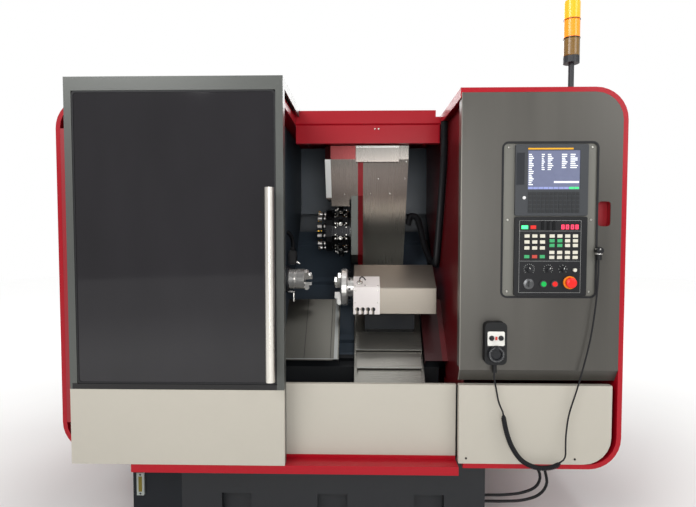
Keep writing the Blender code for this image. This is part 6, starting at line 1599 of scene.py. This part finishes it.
    def chuck_screws(self, black):
        """Dark socket screws on the faces of both chucks and round the second chuck's rim."""
        for name, body, axis, face, outward, radius, count in (
            ("main_chuck_screws", "main_spindle", AXIS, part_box("main_chuck")[1].x, 1, 0.043, 3),
            ("second_chuck_screws", "sub_spindle", SUB_AXIS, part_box("sub_chuck")[0].x, -1, 0.080, 6),
        ):
            places = []
            for screw in range(count):
                angle = 2 * math.pi * (screw + 0.5) / count + math.radians(45)
                along, up = axis[0] + radius * math.cos(angle), axis[1] + radius * math.sin(angle)
                places.append((face + outward * GAP, along, up))
            screw_piece(name, places, (outward, 0, 0), 0.0048, body, black)
        low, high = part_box("sub_chuck")
        reach = (high.z - low.z) / 2
        centre = Vector(((low.x + high.x) / 2 + 0.012, *SUB_AXIS))
        seats = []
        for socket in range(12):
            angle = 2 * math.pi * socket / 12
            spoke = Vector((0, math.cos(angle), math.sin(angle)))
            seats.append(facing(centre + spoke * (reach - 0.0006), spoke))
        profile = [(0.0, 0.0010), (0.0050, 0.0010), (0.0056, 0.0)]
        turned_piece("second_chuck_sockets", profile, seats, "sub_spindle", black, 12)

    def on_slope(self, across, reach, height):
        """Matrix on a sloped cover: X across, Y down the slope and Z out of it."""
        slope = Matrix((
            (1, 0, 0, across), (0, SLOPE_DOWN.y, SLOPE_NORMAL.y, 0), (0, SLOPE_DOWN.z, SLOPE_NORMAL.z, 0),
            (0, 0, 0, 1),
        ))
        return slope @ Matrix.Translation((0, reach, height + GAP + 0.0004))

    def slope_of(self, node):
        """Height of a sloped cover's top sheet, and its two ends down the slope."""
        corners = corners_of(node)
        height = max(corner.dot(SLOPE_NORMAL) for corner in corners)
        ends = [
            corner.dot(SLOPE_DOWN) for corner in corners if corner.dot(SLOPE_NORMAL) > height - 0.0005
        ]
        return height, min(ends), max(ends)

    def cover_lips(self, lip_steel):
        """Folded bright lips along the lower edges of the sloped covers."""
        for name, node, body in (
            ("way_cover_1_lip", "way_cover_1", "sub_slide"),
            ("way_cover_2_lip", "way_cover_2", "way_cover_2"),
            ("way_guard_lip", "left_way_guard", "machine"),
        ):
            height, _, foot = self.slope_of(node)
            low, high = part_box(node)
            matrix = self.on_slope((low.x + high.x) / 2, foot - 0.0025, height)
            shape = bmesh.new()
            add_bar(shape, matrix, (high.x - low.x - 0.002, 0.0035, 0.0008))
            piece(name, shape, body, lip_steel)

    def guard_seams(self, lip_steel):
        """Bright right edge of the left way guard, and the dark seams between its sheets."""
        height, first, last = self.slope_of("left_way_guard")
        seam_black = moulded("seam_black", paint_colour(16, 17, 18))
        for name, places, width, finish, slot in (
            ("way_guard_edge", (0.006,), 0.018, lip_steel, "brushed_stainless"),
            ("way_guard_seams", (-0.150, -0.020), 0.0016, seam_black, "black_coat"),
        ):
            shape = bmesh.new()
            for across in places:
                matrix = self.on_slope(across, (first + last) / 2, height)
                add_bar(shape, matrix, (width, last - first - 0.006, 0.0008))
            piece(name, shape, "machine", finish)

    def coolant_nozzle(self, black):
        """Coolant block with its hose above the main chuck."""
        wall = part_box("main_headstock")[1].x + GAP
        shape = bmesh.new()
        add_slab(shape, (wall, -0.132, 1.120), (wall + 0.040, -0.080, 1.196), 0.006, 3)
        nut = [
            (0.0, 0.0), (0.013, 0.0), (0.015, 0.003), (0.015, 0.010), (0.010, 0.012), (0.010, 0.018),
            (0.0, 0.018),
        ]
        add_turned(shape, nut, Matrix.Translation((wall + 0.020, -0.106, 1.1955)), 6)
        path = smooth_route([
            (wall + 0.020, -0.106, 1.212), (wall + 0.020, -0.106, 1.235), (wall + 0.014, -0.104, 1.262),
            (wall + 0.002, -0.102, 1.281), (wall - 0.0112, -0.100, 1.290),
        ], 0.0022)
        sweep = [0.0115 if index % 2 else 0.0098 for index in range(len(path))]
        add_pipe(shape, path, 0.011, 16, sweep)
        piece("coolant_nozzle_block", shape, "machine", black)

    def part_stop(self, steel):
        """Nozzle of the coolant block, and the part stop on its bracket below it."""
        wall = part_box("main_headstock")[1].x + GAP
        nozzle = [(0.0, 0.0), (0.0055, 0.0), (0.0055, 0.010), (0.0030, 0.022), (0.0, 0.022)]
        stop = [(0.0, 0.0), (0.0058, 0.0), (0.0062, 0.003), (0.0062, 0.044), (0.0045, 0.048), (0.0, 0.048)]
        shape = bmesh.new()
        add_turned(shape, nozzle, facing((wall + 0.0398, -0.106, 1.135), (0.8, 0, -0.6)), 16)
        add_slab(shape, (wall, -0.146, 0.978), (wall + 0.034, -0.124, 0.984), 0.0012)
        add_turned(shape, stop, Matrix.Translation((wall + 0.027, -0.135, 0.9295)), 16)
        piece("part_stop", shape, "machine", steel)


class LATHE_PT_sidebar(bpy.types.Panel):
    """Buttons for the lathe's pieces"""

    bl_label = "Turning lathe"
    bl_idname = "LATHE_PT_sidebar"
    bl_space_type = "VIEW_3D"
    bl_region_type = "UI"
    bl_category = "Lathe"

    def draw(self, context):
        for operator in OPERATORS:
            self.layout.operator(operator.bl_idname)
        for group in (context.scene.lathe_colours, context.scene.lathe_sizes):
            for setting in type(group).__annotations__:
                self.layout.prop(group, setting)


OPERATORS = (
    LATHE_OT_stage, LATHE_OT_cords, LATHE_OT_paintwork, LATHE_OT_window, LATHE_OT_controls,
    LATHE_OT_pendant, LATHE_OT_lamp, LATHE_OT_interior,
)
CLASSES = (LatheColours, LatheSizes, *OPERATORS, LATHE_PT_sidebar)


def register():
    """Make the operators, the panel and their settings known to Blender."""
    for made in CLASSES:
        bpy.utils.register_class(made)
    bpy.types.Scene.lathe_colours = PointerProperty(type=LatheColours)
    bpy.types.Scene.lathe_sizes = PointerProperty(type=LatheSizes)


def unregister():
    """Take them away again."""
    del bpy.types.Scene.lathe_sizes
    del bpy.types.Scene.lathe_colours
    for made in reversed(CLASSES):
        bpy.utils.unregister_class(made)


def main():
    """Build every piece in order."""
    register()
    for operator in OPERATORS:
        group, name = operator.bl_idname.split(".")
        getattr(getattr(bpy.ops, group), name)()


if __name__ == "__main__":
    main()
